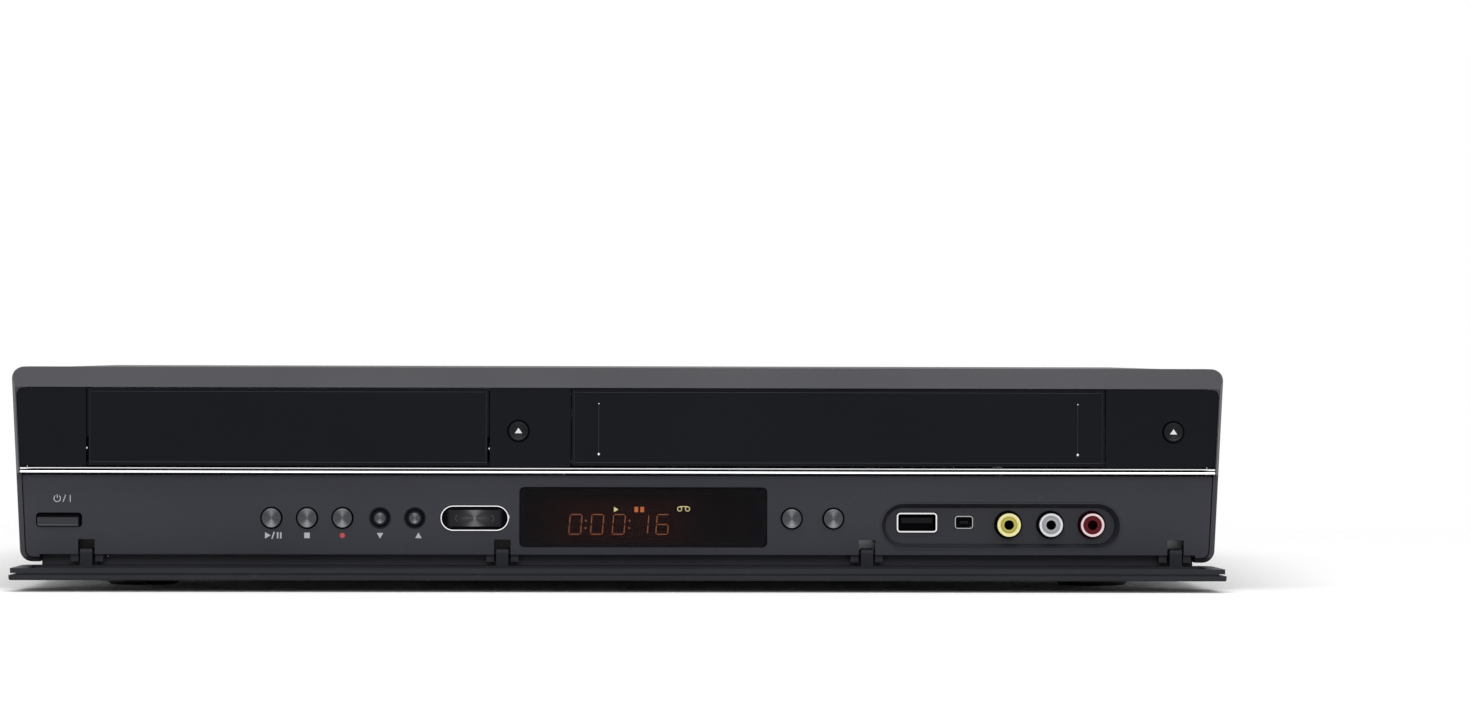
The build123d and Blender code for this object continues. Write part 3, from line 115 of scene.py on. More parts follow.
class Finish:
    def __init__(self, name, **plain):
        self.material = bpy.data.materials.new(name)
        self.material.use_nodes = True
        self.tree = self.material.node_tree
        self.shader = next(n for n in self.tree.nodes if n.type == "BSDF_PRINCIPLED")
        self.coordinates = self.tree.nodes.new("ShaderNodeTexCoord").outputs["Object"]
        parts = self.tree.nodes.new("ShaderNodeSeparateXYZ")
        self.tree.links.new(self.coordinates, parts.inputs[0])
        self.x, self.y, self.z = (Value(self, socket) for socket in parts.outputs)
        for socketName, value in plain.items():
            self.shader.inputs[socketName.replace("_", " ")].default_value = value

    def node(self, kind, settings, sockets, output=0):
        made = self.tree.nodes.new(kind)
        for key, value in settings.items():
            setattr(made, key, value)
        for key, value in sockets.items():
            if isinstance(value, Value):
                self.tree.links.new(value.socket, made.inputs[key])
            elif isinstance(value, bpy.types.NodeSocket):
                self.tree.links.new(value, made.inputs[key])
            else:
                made.inputs[key].default_value = value
        return Value(self, made.outputs[output])

    def noise(self, scale, detail=3.0, rough=0.5, where=None):
        return self.node("ShaderNodeTexNoise", {}, {"Vector": where or self.coordinates, "Scale": scale,
                                                    "Detail": detail, "Roughness": rough})

    def stretched(self, along):
        # object coordinates drawn out, for grain that runs one way
        return self.node("ShaderNodeMapping", {}, {"Vector": self.coordinates, "Scale": along}).socket

    def blend(self, mask, first, second):
        mix = self.tree.nodes.new("ShaderNodeMix")
        mix.data_type = "RGBA"
        for key, value in ((0, mask), (6, first), (7, second)):
            if isinstance(value, Value):
                self.tree.links.new(value.socket, mix.inputs[key])
            else:
                mix.inputs[key].default_value = value
        return Value(self, mix.outputs[2])

    def colour(self, value):
        self.feed("Base Color", value)

    def rough(self, value):
        self.feed("Roughness", value)

    def feed(self, name, value):
        if isinstance(value, Value):
            self.tree.links.new(value.socket, self.shader.inputs[name])
        else:
            self.shader.inputs[name].default_value = value

    def bump(self, height, depth, strength=1.0):
        lifted = self.node("ShaderNodeBump", {}, {"Height": height, "Distance": depth, "Strength": strength})
        self.feed("Normal", lifted)


def mouldedPlastic(name, look):
    # fine spark-eroded grain, a faint cloudiness in the sheen and scattered paler specks of dust
    finish = Finish(name, Specular_IOR_Level=look.get("specular", 0.5))
    grain = finish.noise(look.get("grain", 5200), 2.0)
    cloud = finish.noise(22, 3.0)
    dust = finish.noise(260, 4.0, 0.7)
    low = finish.blend(cloud.step(0.35, 0.7), look["colour"], look["second"])
    finish.colour(finish.blend(dust.step(0.62, 0.8) * 0.06, low, tone(150, 148, 145)))
    finish.rough(look["rough"] + (cloud - 0.5) * 0.12 + (grain - 0.5) * 0.1)
    finish.bump(grain, look.get("depth", 0.04) * mm, 0.35)
    return finish.material


def turnedCap(name, centre, look):
    # concentric tool marks round the cap's own middle, a painted highlight fan like the one they make, a
    # painted glint band, and a painted gap shadow round the rim
    finish = Finish(name, Specular_IOR_Level=0.5)
    across = finish.x - centre[0]
    upright = finish.z - centre[2]
    away = (across ** 2.0 + upright ** 2.0) ** 0.5
    rings = (away * (2 * math.pi / (look["pitch"] * mm))).sine()
    scratch = finish.noise(2600, 2.0)
    # painted highlight: a fan of light set by the angle round the middle
    fan = ((upright.size() - across.size()) / (away + 0.4 * mm)).step(-0.4, 1.0) * look["fan"]
    # painted highlight: a bright glint band through the middle
    glint = 1 - (upright.size() / (look["glint"] * mm)).step(0.3, 1.0)
    fan = fan + glint * look["fan"] * 0.4
    fanHighlightAndToolMarks = fan + rings * 0.07 + (scratch - 0.5) * 0.15
    # painted shade: the shadowed gap round the cap, drawn as a near-black rim from face times the radius
    # outward
    rim = (away - look["radius"] * look["face"]).step(0.0, look["edge"] * mm)
    # this colour carries the painted highlight fan over the tool marks
    turned = finish.blend(fanHighlightAndToolMarks.step(0.0, 1.0), look["colour"], look["light"])
    finish.colour(finish.blend(rim, turned, look["rim"]))
    finish.feed("Metallic", 0.75 + rim * 0.25)
    finish.rough(look["rough"] + (scratch - 0.5) * 0.1 + rim * 0.3)
    finish.bump(rings * (1 - rim) + scratch * 0.2, look["depth"] * mm, 0.6)
    return finish.material


def sheetMetal(name, look):
    # rolled and plated sheet: long faint rolling marks and a soft spangle
    finish = Finish(name, Metallic=look.get("metallic", 1.0))
    marks = finish.noise(90, 4.0, 0.6, finish.stretched((1.0, 22.0, 30.0)))
    spangle = finish.node("ShaderNodeTexVoronoi", {"feature": "F1"},
                          {"Vector": finish.coordinates, "Scale": 160.0})
    soft = finish.noise(9, 3.0)
    paler = spangle.step(0.1, 0.9) * 0.5 + soft.step(0.3, 0.7) * 0.3
    finish.colour(finish.blend(paler, look["colour"], look["second"]))
    finish.rough(look["rough"] + (marks - 0.5) * 0.25)
    finish.bump(marks, 0.03 * mm, 0.3)
    return finish.material


def texturedPaint(name, look):
    # baked paint with a fine wrinkle
    finish = Finish(name, Specular_IOR_Level=0.45)
    wrinkle = finish.node("ShaderNodeTexVoronoi", {"feature": "SMOOTH_F1"},
                          {"Vector": finish.coordinates, "Scale": 1700.0})
    cloud = finish.noise(14, 3.0)
    finish.colour(finish.blend(cloud.step(0.3, 0.75), look["colour"], look["second"]))
    finish.rough(look["rough"] + (wrinkle - 0.5) * 0.15)
    finish.bump(wrinkle + finish.noise(4200, 1.0) * 0.4, 0.08 * mm, 0.55)
    return finish.material


def ledgeButton(name, centre, look):
    # a moulded bar with painted shade along the top and the far end, and a painted highlight along its lower
    # edge
    finish = Finish(name, Specular_IOR_Level=0.25)
    upright = finish.z - centre[2]
    across = finish.x - centre[0]
    grain = finish.noise(3800, 2.0)
    # painted shade along the top and down the far end
    top = upright.step(look["top"] * mm, (look["top"] + 0.5) * mm)
    shade = top.most(across.step(look["end"] * mm, (look["end"] + 0.5) * mm))
    # painted highlight along the lower edge, where no painted shade falls
    lipHighlight = (1 - (upright + look["lipHighlight"] * mm).step(0.0, 0.3 * mm)) * (1 - shade)
    body = finish.blend(shade, look["colour"], look["dark"])
    finish.colour(finish.blend(lipHighlight, body, look["edge"]))
    finish.feed("Metallic", shade)
    finish.rough(0.4 + (grain - 0.5) * 0.1 + shade * 0.3)
    finish.bump(grain, 0.04 * mm, 0.3)
    return finish.material


# painted shade: what lies deeper than this in a front jack is painted dark
jackFloor = 9.6         # what lies deeper in a front jack is dark
contactRadius, insulatorRadius = 1.7, 3.1


def phonoJack(name, centre, look):
    # plated sleeve rim outside, coloured insulator inside, and painted shade in the contact hole and deeper
    # in the jack
    finish = Finish(name, Specular_IOR_Level=0.15)
    away = ((finish.x - centre[0]) ** 2.0 + (finish.z - centre[2]) ** 2.0) ** 0.5
    behind = (finish.y - place(0, jackFloor, 0).y).step(0.0, 0.4 * mm)
    metal = away.step(look["rim"] * mm, (look["rim"] + 0.08) * mm) * (1 - behind)
    # painted shade in the contact hole and behind the jack floor
    hole = (1 - away.step(contactRadius * mm, (contactRadius + 0.1) * mm)).most(behind)
    scuff = finish.noise(1500, 3.0)
    body = finish.blend(metal, look["insulator"], look["sleeve"])
    finish.colour(finish.blend(hole, body, look["hole"]))
    finish.feed("Metallic", (metal * 0.9).most(hole))
    finish.rough(0.32 - metal * 0.1 + (scuff - 0.5) * 0.15)
    finish.bump(scuff, 0.02 * mm, 0.3)
    return finish.material


def rearJacks(finish, body, look):
    # plated sleeves with a coloured insulator for each column, behind the rear panel's plane
    last = look["first"] + look["pitch"] * (len(look["colours"]) - 0.5)
    outside = (finish.y - look["plane"] * mm).step(0.0, 0.4 * mm)
    outside = outside * (1 - (finish.x - last * mm).step(0.0, 0.2 * mm))
    column = ((finish.x - look["first"] * mm) / (look["pitch"] * mm) + 0.5).maths("FLOOR")
    across = finish.x - (column * look["pitch"] + look["first"]) * mm
    row = ((finish.z - look["low"] * mm) / (look["rise"] * mm) + 0.5).maths("FLOOR")
    upright = finish.z - (row * look["rise"] + look["low"]) * mm
    away = (across ** 2.0 + upright ** 2.0) ** 0.5
    insulator = look["colours"][0]
    for index, colour in enumerate(look["colours"][1:]):
        insulator = finish.blend(column.step(index + 0.4, index + 0.6), insulator, colour)
    plated = away.step(insulatorRadius * mm, (insulatorRadius + 0.1) * mm)
    shown = finish.blend(plated, insulator, tone(206, 206, 204))
    # painted shade in each contact hole
    contactShade = 1 - away.step(contactRadius * mm, (contactRadius + 0.1) * mm)
    shown = finish.blend(contactShade, shown, tone(10, 10, 10))
    finish.feed("Metallic", outside * plated * 0.9)
    return finish.blend(outside, body, shown)


def boardFinish(name, boardTop, look):
    # laminate with copper runs below, mixed parts above
    finish = Finish(name, Specular_IOR_Level=0.5)
    runs = finish.node("ShaderNodeTexBrick", {"offset": 0.37}, {"Vector": finish.coordinates, "Scale": 160.0,
                       "Mortar Size": 0.012}, output=1)
    parts = finish.noise(34, 1.0).step(0.48, 0.52)
    above = (finish.z - boardTop).step(0.4 * mm, 0.7 * mm)
    laminate = finish.blend(runs, look["mask"], look["run"])
    lumps = finish.blend(parts, tone(34, 34, 37), tone(120, 122, 126))
    body = finish.blend(above, laminate, lumps)
    finish.colour(rearJacks(finish, body, look["jacks"]) if "jacks" in look else body)
    finish.rough(0.45 + above * 0.1 + (finish.noise(900, 2.0) - 0.5) * 0.2)
    finish.bump(runs * 0.4 + finish.noise(2200, 2.0) * 0.3, 0.06 * mm, 0.5)
    return finish.material


def rubberFinish(name, look):
    finish = Finish(name, Specular_IOR_Level=0.3)
    pores = finish.noise(3400, 4.0, 0.7)
    bloom = finish.noise(60, 4.0)
    finish.colour(finish.blend(bloom.step(0.4, 0.8) * 0.5, look["colour"], look["second"]))
    finish.rough(0.62 + (pores - 0.5) * 0.25)
    finish.bump(pores, 0.06 * mm, 0.5)
    return finish.material


def brightTrim(name, groove=None):
    # plating, with painted shade along the groove between two beads
    finish = Finish(name)
    haze = finish.noise(130, 4.0, 0.6)
    plated = finish.blend(haze.step(0.4, 0.7), tone(250, 250, 251), tone(240, 240, 243))
    if groove is None:
        finish.colour(plated)
        finish.feed("Metallic", 1.0)
    else:
        middle, half = groove
        # painted shade along the groove
        grooveShade = 1 - (finish.z - middle * mm).size().step(half * mm, (half + 0.06) * mm)
        finish.colour(finish.blend(grooveShade, plated, tone(14, 14, 16)))
        finish.feed("Metallic", 1.0 - grooveShade * 0.02)
    finish.rough(0.13 + (haze - 0.5) * 0.08)
    finish.bump(finish.noise(60, 1.0), 0.01 * mm, 0.1)
    return finish.material


def pianoBlack(name, look, plate=None):
    finish = Finish(name, Specular_IOR_Level=look["specular"])
    haze = finish.noise(16, 3.0)
    swirl = finish.noise(1400, 2.0, 0.5, finish.stretched((1.0, 1.0, 9.0)))
    gloss = finish.blend(haze.step(0.3, 0.7), look["colour"], look["second"])
    if plate:
        # painted highlight where light catches the bevel round the raised plate, and one wall of each groove
        left, right = plate["edges"]
        middle, half = (left + right) / 2, (right - left) / 2
        across = (finish.x - middle * mm).size() - (half - plate["bevel"]) * mm
        upright = (finish.z - doorMiddle * mm).size() - (doorHalf - plate["bevel"]) * mm
        bevel = 1 - (across.most(upright).size() / (0.16 * mm)).step(0.4, 1.0)
        for x, low, high in plate["grooves"]:
            wall = 1 - ((finish.x - x * mm).size() / (0.18 * mm)).step(0.4, 1.0)
            past = (finish.z - (low + high) / 2 * mm).size() - (high - low) / 2 * mm
            bevel = bevel.most(wall * (1 - past.step(-0.4 * mm, 0.0)) * 0.8)
        gloss = finish.blend(bevel, gloss, tone(50, 52, 58))
    finish.colour(gloss)
    finish.rough(look["rough"] + (haze - 0.5) * 0.05 + (swirl - 0.5) * 0.04)
    finish.bump(finish.noise(7, 1.0), 0.2 * mm, 0.08)
    return finish.material


def smokedWindow(name, look):
    # smoked plastic with a painted red glow round the lit figures
    finish = Finish(name, Specular_IOR_Level=0.1)
    haze = finish.noise(40, 3.0)
    tint = finish.blend(haze.step(0.3, 0.7), tone(9, 5, 9), tone(11, 7, 10))
    # painted red glow near the figures
    beside = finish.x.size() / (look["wide"] / 2 * mm)
    above = (finish.z - look["level"] * mm).size() / (look["high"] / 2 * mm)
    figureGlow = 1 - beside.most(above).step(0.3, 1.0)
    finish.colour(finish.blend(figureGlow, tint, tone(34, 13, 13)))
    finish.rough(0.08 + (haze - 0.5) * 0.04)
    finish.feed("Alpha", 0.6 + (haze - 0.5) * 0.02)
    return finish.material


def socketShell(name, centre, look):
    # plated rim, and painted shade over the inside with its contact tongue
    finish = Finish(name, Specular_IOR_Level=0.4)
    corner = look["corner"] * mm
    across = ((finish.x - centre[0]).size() - look["wide"] / 2 * mm + corner).most(0.0)
    upright = ((finish.z - centre[2]).size() - look["high"] / 2 * mm + corner).most(0.0)
    depth = corner - (across ** 2.0 + upright ** 2.0) ** 0.5
    rim = depth.step(-0.02 * mm, 0.04 * mm) * (1 - depth.step(look["wall"] * mm, (look["wall"] + 0.08) * mm))
    scuff = finish.noise(1500, 3.0)
    # painted shade over everything inside the plated rim
    finish.colour(finish.blend(rim, tone(26, 26, 29), look["plate"]))
    finish.feed("Metallic", 0.95 + rim * 0.05)
    finish.rough(0.5 - rim * 0.25 + (scuff - 0.5) * 0.15)
    finish.bump(scuff, 0.02 * mm, 0.3)
    return finish.material


def rockerFinish(name, centre, look):
    # drawn crosswise grain with a painted star of highlight in the middle, and painted shade towards the rim
    finish = Finish(name, Specular_IOR_Level=0.4)
    across = (finish.x - centre[0]).size()
    upright = (finish.z - centre[2]).size()
    grain = finish.noise(900, 3.0, 0.6, finish.stretched((0.12, 1.0, 5.0)))
    away = (across ** 2.0 + upright ** 2.0) ** 0.5
    # painted highlight: a wedge-shaped star across the middle and a spot at the centre
    wedge = ((across - upright * 2.2).size() / (away * 2.0 + 0.6 * mm)).step(0.0, 0.9)
    star = (1 - (across / (look["reach"] * mm)).step(0.0, 1.0)) * (0.35 + wedge * 0.5)
    spot = 1 - (away / (look["spot"] * mm)).step(0.0, 1.0)
    # painted shade along the top and bottom and towards both ends
    rim = upright.step(look["top"] * mm, (look["top"] + 0.4) * mm)
    rim = rim.most(across.step(look["edge"] * mm, (look["edge"] + 2.0) * mm))
    # painted highlight mixed with the drawn grain
    glint = star * 0.7 + spot * 0.4 + (grain - 0.5) * 0.16
    grainAndHighlight = finish.blend(glint.step(0.0, 1.0), look["colour"], look["light"])
    finish.colour(finish.blend(rim, grainAndHighlight, tone(10, 10, 12)))
    finish.feed("Metallic", 0.7 + rim * 0.3)
    finish.rough(0.3 + (grain - 0.5) * 0.12 + rim * 0.3)
    finish.bump(grain, 0.02 * mm, 0.4)
    return finish.material


gridPitch = 0.45


def glowing(name, colour, strength):
    # phosphor seen through the mesh of its grid
    finish = Finish(name, Specular_IOR_Level=0.1, Roughness=0.6, Emission_Strength=strength)
    wires = 2 * math.pi / (gridPitch * mm)
    grid = (finish.x * wires).sine() * (finish.z * wires).sine()
    dim = tuple(part * 0.75 for part in colour[:3]) + (1.0,)
    finish.colour(tone(70, 45, 30))
    finish.feed("Emission Color", finish.blend(grid.step(-0.2, 0.6), colour, dim))
    return finish.material


def printedInk(name, colour):
    finish = Finish(name, Specular_IOR_Level=0.35)
    speck = finish.noise(5200, 3.0)
    dimmer = tuple(part * 0.86 for part in colour[:3]) + (1.0,)
    finish.colour(finish.blend(speck.step(0.55, 0.75), colour, dimmer))
    finish.rough(0.5 + (speck - 0.5) * 0.2)
    finish.bump(speck, 0.01 * mm, 0.3)
    return finish.material


jackPlaces = {"video_jack": 138.6, "audio_left_jack": 153.6, "audio_right_jack": 168.4}
# the hole colour of each jack is painted shade
jackColours = {
    "video_jack": {"insulator": tone(196, 186, 92), "sleeve": tone(226, 218, 160), "rim": 3.0,
                   "hole": tone(10, 9, 9)},
    "audio_left_jack": {"insulator": tone(176, 177, 180), "sleeve": tone(210, 211, 213), "rim": 3.3,
                        "hole": tone(10, 9, 9)},
    "audio_right_jack": {"insulator": tone(98, 8, 24), "sleeve": tone(222, 200, 204), "rim": 3.3,
                         "hole": tone(30, 4, 10)},
}
# light is the colour of the painted highlight, glint the half width of the painted glint band, and rim the
# colour of the painted gap shadow round each cap
brushedCap = {"pitch": 0.5, "colour": tone(62, 63, 67), "light": tone(158, 159, 163), "rough": 0.3,
              "face": 0.89, "fan": 0.45, "rim": tone(9, 9, 11), "glint": 0.16, "edge": 0.1, "depth": 0.02}
smallCap = {**brushedCap, "face": 0.66, "rim": tone(30, 31, 35)}
darkCap = {**brushedCap, "pitch": 0.9, "colour": tone(17, 18, 22), "light": tone(70, 72, 78), "fan": 0.12,
           "rough": 0.22}
capRadius, smallRadius = 3.7, 2.8
capPlaces = {
    "play_button": (-123.2, buttonLevel, capRadius, brushedCap),
    "stop_button": (-110.6, buttonLevel, capRadius, brushedCap),
    "record_button": (-98.1, buttonLevel, capRadius, brushedCap),
    "channel_down_button": (-84.8, buttonLevel, smallRadius, smallCap),
    "channel_up_button": (-72.5, buttonLevel, smallRadius, smallCap),
    "source_button": (61.2, buttonLevel, capRadius, brushedCap),
    "resolution_button": (76.0, buttonLevel, capRadius, brushedCap),
    "disc_eject_button": (discEjectX, ejectLevel, capRadius, darkCap),
    "tape_eject_button": (tapeEjectX, ejectLevel, capRadius, darkCap),
}

caseBlack = {"colour": tone(51, 51, 56), "second": tone(48, 48, 53), "rough": 0.5, "specular": 0.3}
panelBlack = {"colour": tone(44, 45, 53), "second": tone(41, 42, 50), "rough": 0.52, "specular": 0.28}
darkMoulding = {"colour": tone(38, 38, 41), "second": tone(33, 33, 36), "rough": 0.55, "depth": 0.06}
paleMoulding = {"colour": tone(226, 225, 218), "second": tone(216, 214, 205), "rough": 0.45}

doorGloss = {"colour": tone(8, 11, 18), "second": tone(10, 13, 20), "rough": 0.12, "specular": 0.11}

materials = {
    "case_black": mouldedPlastic("caseBlack", caseBlack),
    "piano_black": pianoBlack("pianoBlack", doorGloss),
    "disc_door": pianoBlack("discDoorGloss", doorGloss, {
        "edges": discDoorEdges, "bevel": 0.95, "grooves": ()}),
    "cassette_door": pianoBlack("cassetteDoorGloss", doorGloss, {
        "edges": cassetteDoorEdges, "bevel": 0.95,
        "grooves": ((grooveLeft, 47.8, 66.0), (grooveRight, 47.8, 66.0))}),
    "bright_trim": brightTrim("brightTrim"),
    "chrome_strip": brightTrim("beadedTrim", (42.075, 0.25)),
    "usb_port": socketShell("usbShell", place(106.0, 0, 23.6), {
        "wide": 14.4, "high": 7.0, "wall": 0.45, "corner": 1.3, "plate": tone(224, 224, 226)}),
    "dv_port": socketShell("dvShell", place(122.8, 0, 23.7), {
        "wide": 6.5, "high": 4.6, "wall": 0.28, "corner": 1.1, "plate": tone(168, 168, 171)}),
    "panel_black": mouldedPlastic("panelBlack", panelBlack),
    "front_flap": mouldedPlastic("flapBlack", {
        "colour": tone(32, 33, 39), "second": tone(29, 30, 36), "rough": 0.5, "specular": 0.18}),
    "smoked_glass": smokedWindow("smokedWindow", {"wide": 68.0, "high": 22.0, "level": 23.5}),
    "display_glass": pianoBlack("displayTube", {
        "colour": tone(16, 9, 10), "second": tone(20, 11, 12), "rough": 0.3, "specular": 0.15}),
    "plated_shell": sheetMetal("platedShell", {
        "colour": tone(196, 195, 190), "second": tone(178, 176, 170), "rough": 0.32}),
    "zinc_steel": sheetMetal("zincSteel", {
        "colour": tone(186, 188, 190), "second": tone(164, 167, 171), "rough": 0.38}),
    "cast_metal": sheetMetal("castMetal", {
        "colour": tone(200, 201, 203), "second": tone(184, 186, 189), "rough": 0.3}),
    "polished_steel": sheetMetal("polishedSteel", {
        "colour": tone(205, 206, 208), "second": tone(196, 198, 201), "rough": 0.16}),
    "black_screw": sheetMetal("blackScrew", {
        "colour": tone(60, 60, 63), "second": tone(48, 48, 50), "rough": 0.4, "metallic": 0.8}),
    "cover_paint": texturedPaint("coverPaint", {
        "colour": tone(44, 44, 47), "second": tone(39, 39, 42), "rough": 0.52}),
    "inlet_plastic": mouldedPlastic("inletPlastic", darkMoulding),
    "drive_plastic": mouldedPlastic("drivePlastic", darkMoulding),
    "white_plastic": mouldedPlastic("whitePlastic", paleMoulding),
    "foot_plastic": rubberFinish("footRubber", {"colour": tone(36, 36, 37), "second": tone(58, 57, 56)}),
    "roller_rubber": rubberFinish("rollerRubber", {"colour": tone(26, 26, 27), "second": tone(40, 40, 41)}),
    "button_black": mouldedPlastic("buttonBlack", {
        "colour": tone(46, 47, 53), "second": tone(42, 43, 48), "rough": 0.3, "grain": 3800}),
    # dark is the colour of the painted shade and edge the colour of the painted highlight on the power
    # button
    "power_button": ledgeButton("powerButton", place(powerX, 0, 24.3), {
        "top": 0.7, "end": 6.6, "lipHighlight": 1.8,
        "colour": tone(42, 43, 49), "dark": tone(12, 12, 15), "edge": tone(92, 93, 98)}),
    "dubbing_button": rockerFinish("rockerFinish", place(dubbingX, 0, buttonLevel), {
        "reach": 8.5, "edge": 8.2, "top": 2.7, "spot": 0.9,
        "colour": tone(24, 24, 28), "light": tone(118, 118, 122)}),
    "main_board": boardFinish("mainBoard", 16.6 * mm, {
        "mask": tone(48, 92, 58), "run": tone(96, 140, 88),
        "jacks": {"plane": 343.2 + rowShift, "first": 5.0, "pitch": 18.0, "low": 30.0, "rise": 20.0,
                  "colours": (tone(206, 190, 80), tone(214, 214, 212), tone(150, 24, 30), tone(40, 120, 62),
                              tone(40, 74, 150))}}),
    "power_board": boardFinish("powerBoard", 19.6 * mm, {"mask": tone(150, 120, 78),
                                                         "run": tone(178, 150, 104)}),
    # the front board stands upright, so none of it counts as above the board
    # its near-black solder mask is also painted shade, showing as dark rings round the front jacks
    "front_board": boardFinish("frontBoard", 1.0, {"mask": tone(17, 20, 19), "run": tone(26, 30, 28)}),
}
whiteInk = printedInk("whiteInk", tone(214, 214, 218))
greyInk = printedInk("greyInk", tone(188, 188, 194))
redInk = printedInk("redInk", tone(196, 74, 74))
digitGlow = glowing("digitGlow", tone(206, 128, 88), 0.8)
sourceGlow = glowing("sourceGlow", tone(244, 140, 78), 1.3)
playGlow = glowing("playGlow", tone(246, 232, 170), 1.8)
print("finishes made", len(bpy.data.materials))

slotOf = {row["node"]: row["material_slot"] for row in frame["record"]["subparts"]}
for nodeName, node in nodes.items():
    slotName = slotOf[nodeName]
    if nodeName in jackPlaces:
        centre = place(jackPlaces[nodeName], 0, jackLevel)
        chosen = phonoJack(nodeName + "Finish", centre, jackColours[nodeName])
    elif nodeName in capPlaces:
        x, z, radius, look = capPlaces[nodeName]
        chosen = turnedCap(nodeName + "Finish", place(x, 0, z), {**look, "radius": radius * mm})
    else:
        chosen = materials[nodeName if nodeName in materials else slotName]
    node.data.materials.clear()
    node.data.materials.append(chosen)
print("nodes dressed")


def pickNothing():
    if bpy.context.object and bpy.context.object.mode != "OBJECT":
        bpy.ops.object.mode_set(mode="OBJECT")
    bpy.ops.object.select_all(action="DESELECT")


def settle(name, body, ink):
    # the object goes to the origin, with its place in its mesh
    piece = bpy.context.object
    piece.name = name
    bpy.ops.object.transform_apply(location=True, rotation=True, scale=True)
    piece.data.materials.clear()
    piece.data.materials.append(ink)
    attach(piece, body)
    return piece


def raiseOutline(thickness):
    # a flat outline that faces the front becomes a thin raised mark
    bpy.ops.object.transform_apply(location=True, rotation=True, scale=True)
    bpy.ops.object.mode_set(mode="EDIT")
    bpy.ops.mesh.select_all(action="SELECT")
    bpy.ops.mesh.extrude_region_move(TRANSFORM_OT_translate={"value": (0, -thickness * mm, 0)})
    bpy.ops.mesh.select_all(action="SELECT")
    bpy.ops.mesh.normals_make_consistent(inside=False)
    bpy.ops.object.mode_set(mode="OBJECT")


def addOutline(kind, x, y, z, wide, high, turn=0.0):
    # kind is the number of corners; 4 is a bar
    pickNothing()
    if kind == 4:
        bpy.ops.mesh.primitive_plane_add(size=1.0, location=place(x, y, z), rotation=(quarter, 0, 0))
    else:
        bpy.ops.mesh.primitive_circle_add(vertices=kind, radius=0.5, fill_type="NGON",
                                          location=place(x, y, z), rotation=(quarter, 0, 0))
    shape = bpy.context.object
    shape.scale = (wide * mm, high * mm, 1.0)
    if turn:
        bpy.ops.object.transform_apply(location=False, rotation=False, scale=True)
        shape.rotation_euler = (quarter, turn, 0)
    return shape


def joinAll(shapes):
    pickNothing()
    for shape in shapes:
        shape.select_set(True)
    bpy.context.view_layer.objects.active = shapes[0]
    if len(shapes) > 1:
        bpy.ops.object.join()
    return bpy.context.object


inkRise, displayRise, ejectRise, mouldedRise = 0.06, 0.05, 0.12, 0.04     # how far marks stand up, in mm


def addMark(name, body, ink, shapes, thickness=inkRise):
    made = []
    for shape in shapes:
        addOutline(*shape)
        raiseOutline(thickness)
        made.append(bpy.context.object)
    joinAll(made)
    return settle(name, body, ink)


markLook = {"level": 18.9, "y": lowerFace + 0.02, "bar": 0.55, "size": 2.3}


def triangle(x, y, z, size, turn):
    # a three-cornered outline whose point is up at turn 0
    return (3, x, y, z, size * 1.15, size * 1.15, turn)


def buttonMarks(look):
    y, z, size, bar = look["y"], look["level"], look["size"], look["bar"]
    slant = 0.32
    addMark("playMark", "casing", greyInk, (
        triangle(-124.8, y, z, size, quarter),
        (4, -122.6, y, z, bar * 0.8, size * 1.15, slant),
        (4, -121.0, y, z, bar, size * 0.95), (4, -119.9, y, z, bar, size * 0.95)))
    addMark("stopMark", "casing", greyInk, ((4, -110.6, y, z, size * 0.85, size * 0.85),))
    addMark("recordMark", "casing", redInk, ((28, -98.1, y, z, size * 0.8, size * 0.8),))
    addMark("channelDownMark", "casing", greyInk, (
        triangle(-84.8, y, z + 0.25, size, math.pi),))
    addMark("channelUpMark", "casing", greyInk, (
        triangle(-71.2, y, z - 0.25, size, 0.0),))


def addArc(x, y, z, radius, width, start, end, steps=20):
    # a flat ring section made from one spun edge
    pickNothing()
    bpy.ops.mesh.primitive_plane_add(size=1.0, location=place(x, y, z + radius), rotation=(quarter, 0, 0))
    bpy.context.object.scale = (width * mm, width * mm, 1.0)
    bpy.ops.object.transform_apply(location=True, rotation=True, scale=True)
    arc = bpy.context.object
    bpy.ops.object.mode_set(mode="EDIT")
    bpy.ops.mesh.select_all(action="SELECT")
    bpy.ops.mesh.delete(type="ONLY_FACE")
    bpy.ops.object.mode_set(mode="OBJECT")
    middle = place(x, y, z)
    for vertex in arc.data.vertices:
        vertex.select = vertex.co.x > middle.x
    bpy.ops.object.mode_set(mode="EDIT")
    bpy.ops.mesh.delete(type="VERT")
    bpy.ops.mesh.select_all(action="SELECT")
    bpy.ops.transform.translate(value=(width / 2 * mm, 0, 0))
    bpy.ops.mesh.spin(steps=steps, angle=end - start, center=middle, axis=(0, 1, 0))
    bpy.ops.mesh.select_all(action="SELECT")
    bpy.ops.mesh.remove_doubles(threshold=0.001 * mm)
    bpy.ops.object.mode_set(mode="OBJECT")
    turned = Matrix.Translation(middle) @ Matrix.Rotation(-start, 4, "Y") @ Matrix.Translation(-middle)
    arc.data.transform(turned)
    return arc


def powerMark(look):
    # broken ring with a bar, a slanted line and an upright one
    x, y, z = look["x"], look["y"], look["z"]
    radius, line, gap = look["radius"], look["line"], look["gap"]
    shapes = []
    addArc(x, y, z, radius, line, gap, 2 * math.pi - gap)
    raiseOutline(inkRise)
    shapes.append(bpy.context.object)
    for shape in ((4, x, y, z + radius * 0.7, line, radius * 1.1),
                  (4, x + 2.5, y, z, line, radius * 2.3, look["slant"]),
                  (4, x + 4.6, y, z, line, radius * 2.1)):
        addOutline(*shape)
        raiseOutline(inkRise)
        shapes.append(bpy.context.object)
    joinAll(shapes)
    settle("powerMark", "casing", greyInk)


capProud = 0.9
ejectLook = {"wide": 3.0, "high": 2.5, "y": upperFace - capProud + 0.16}


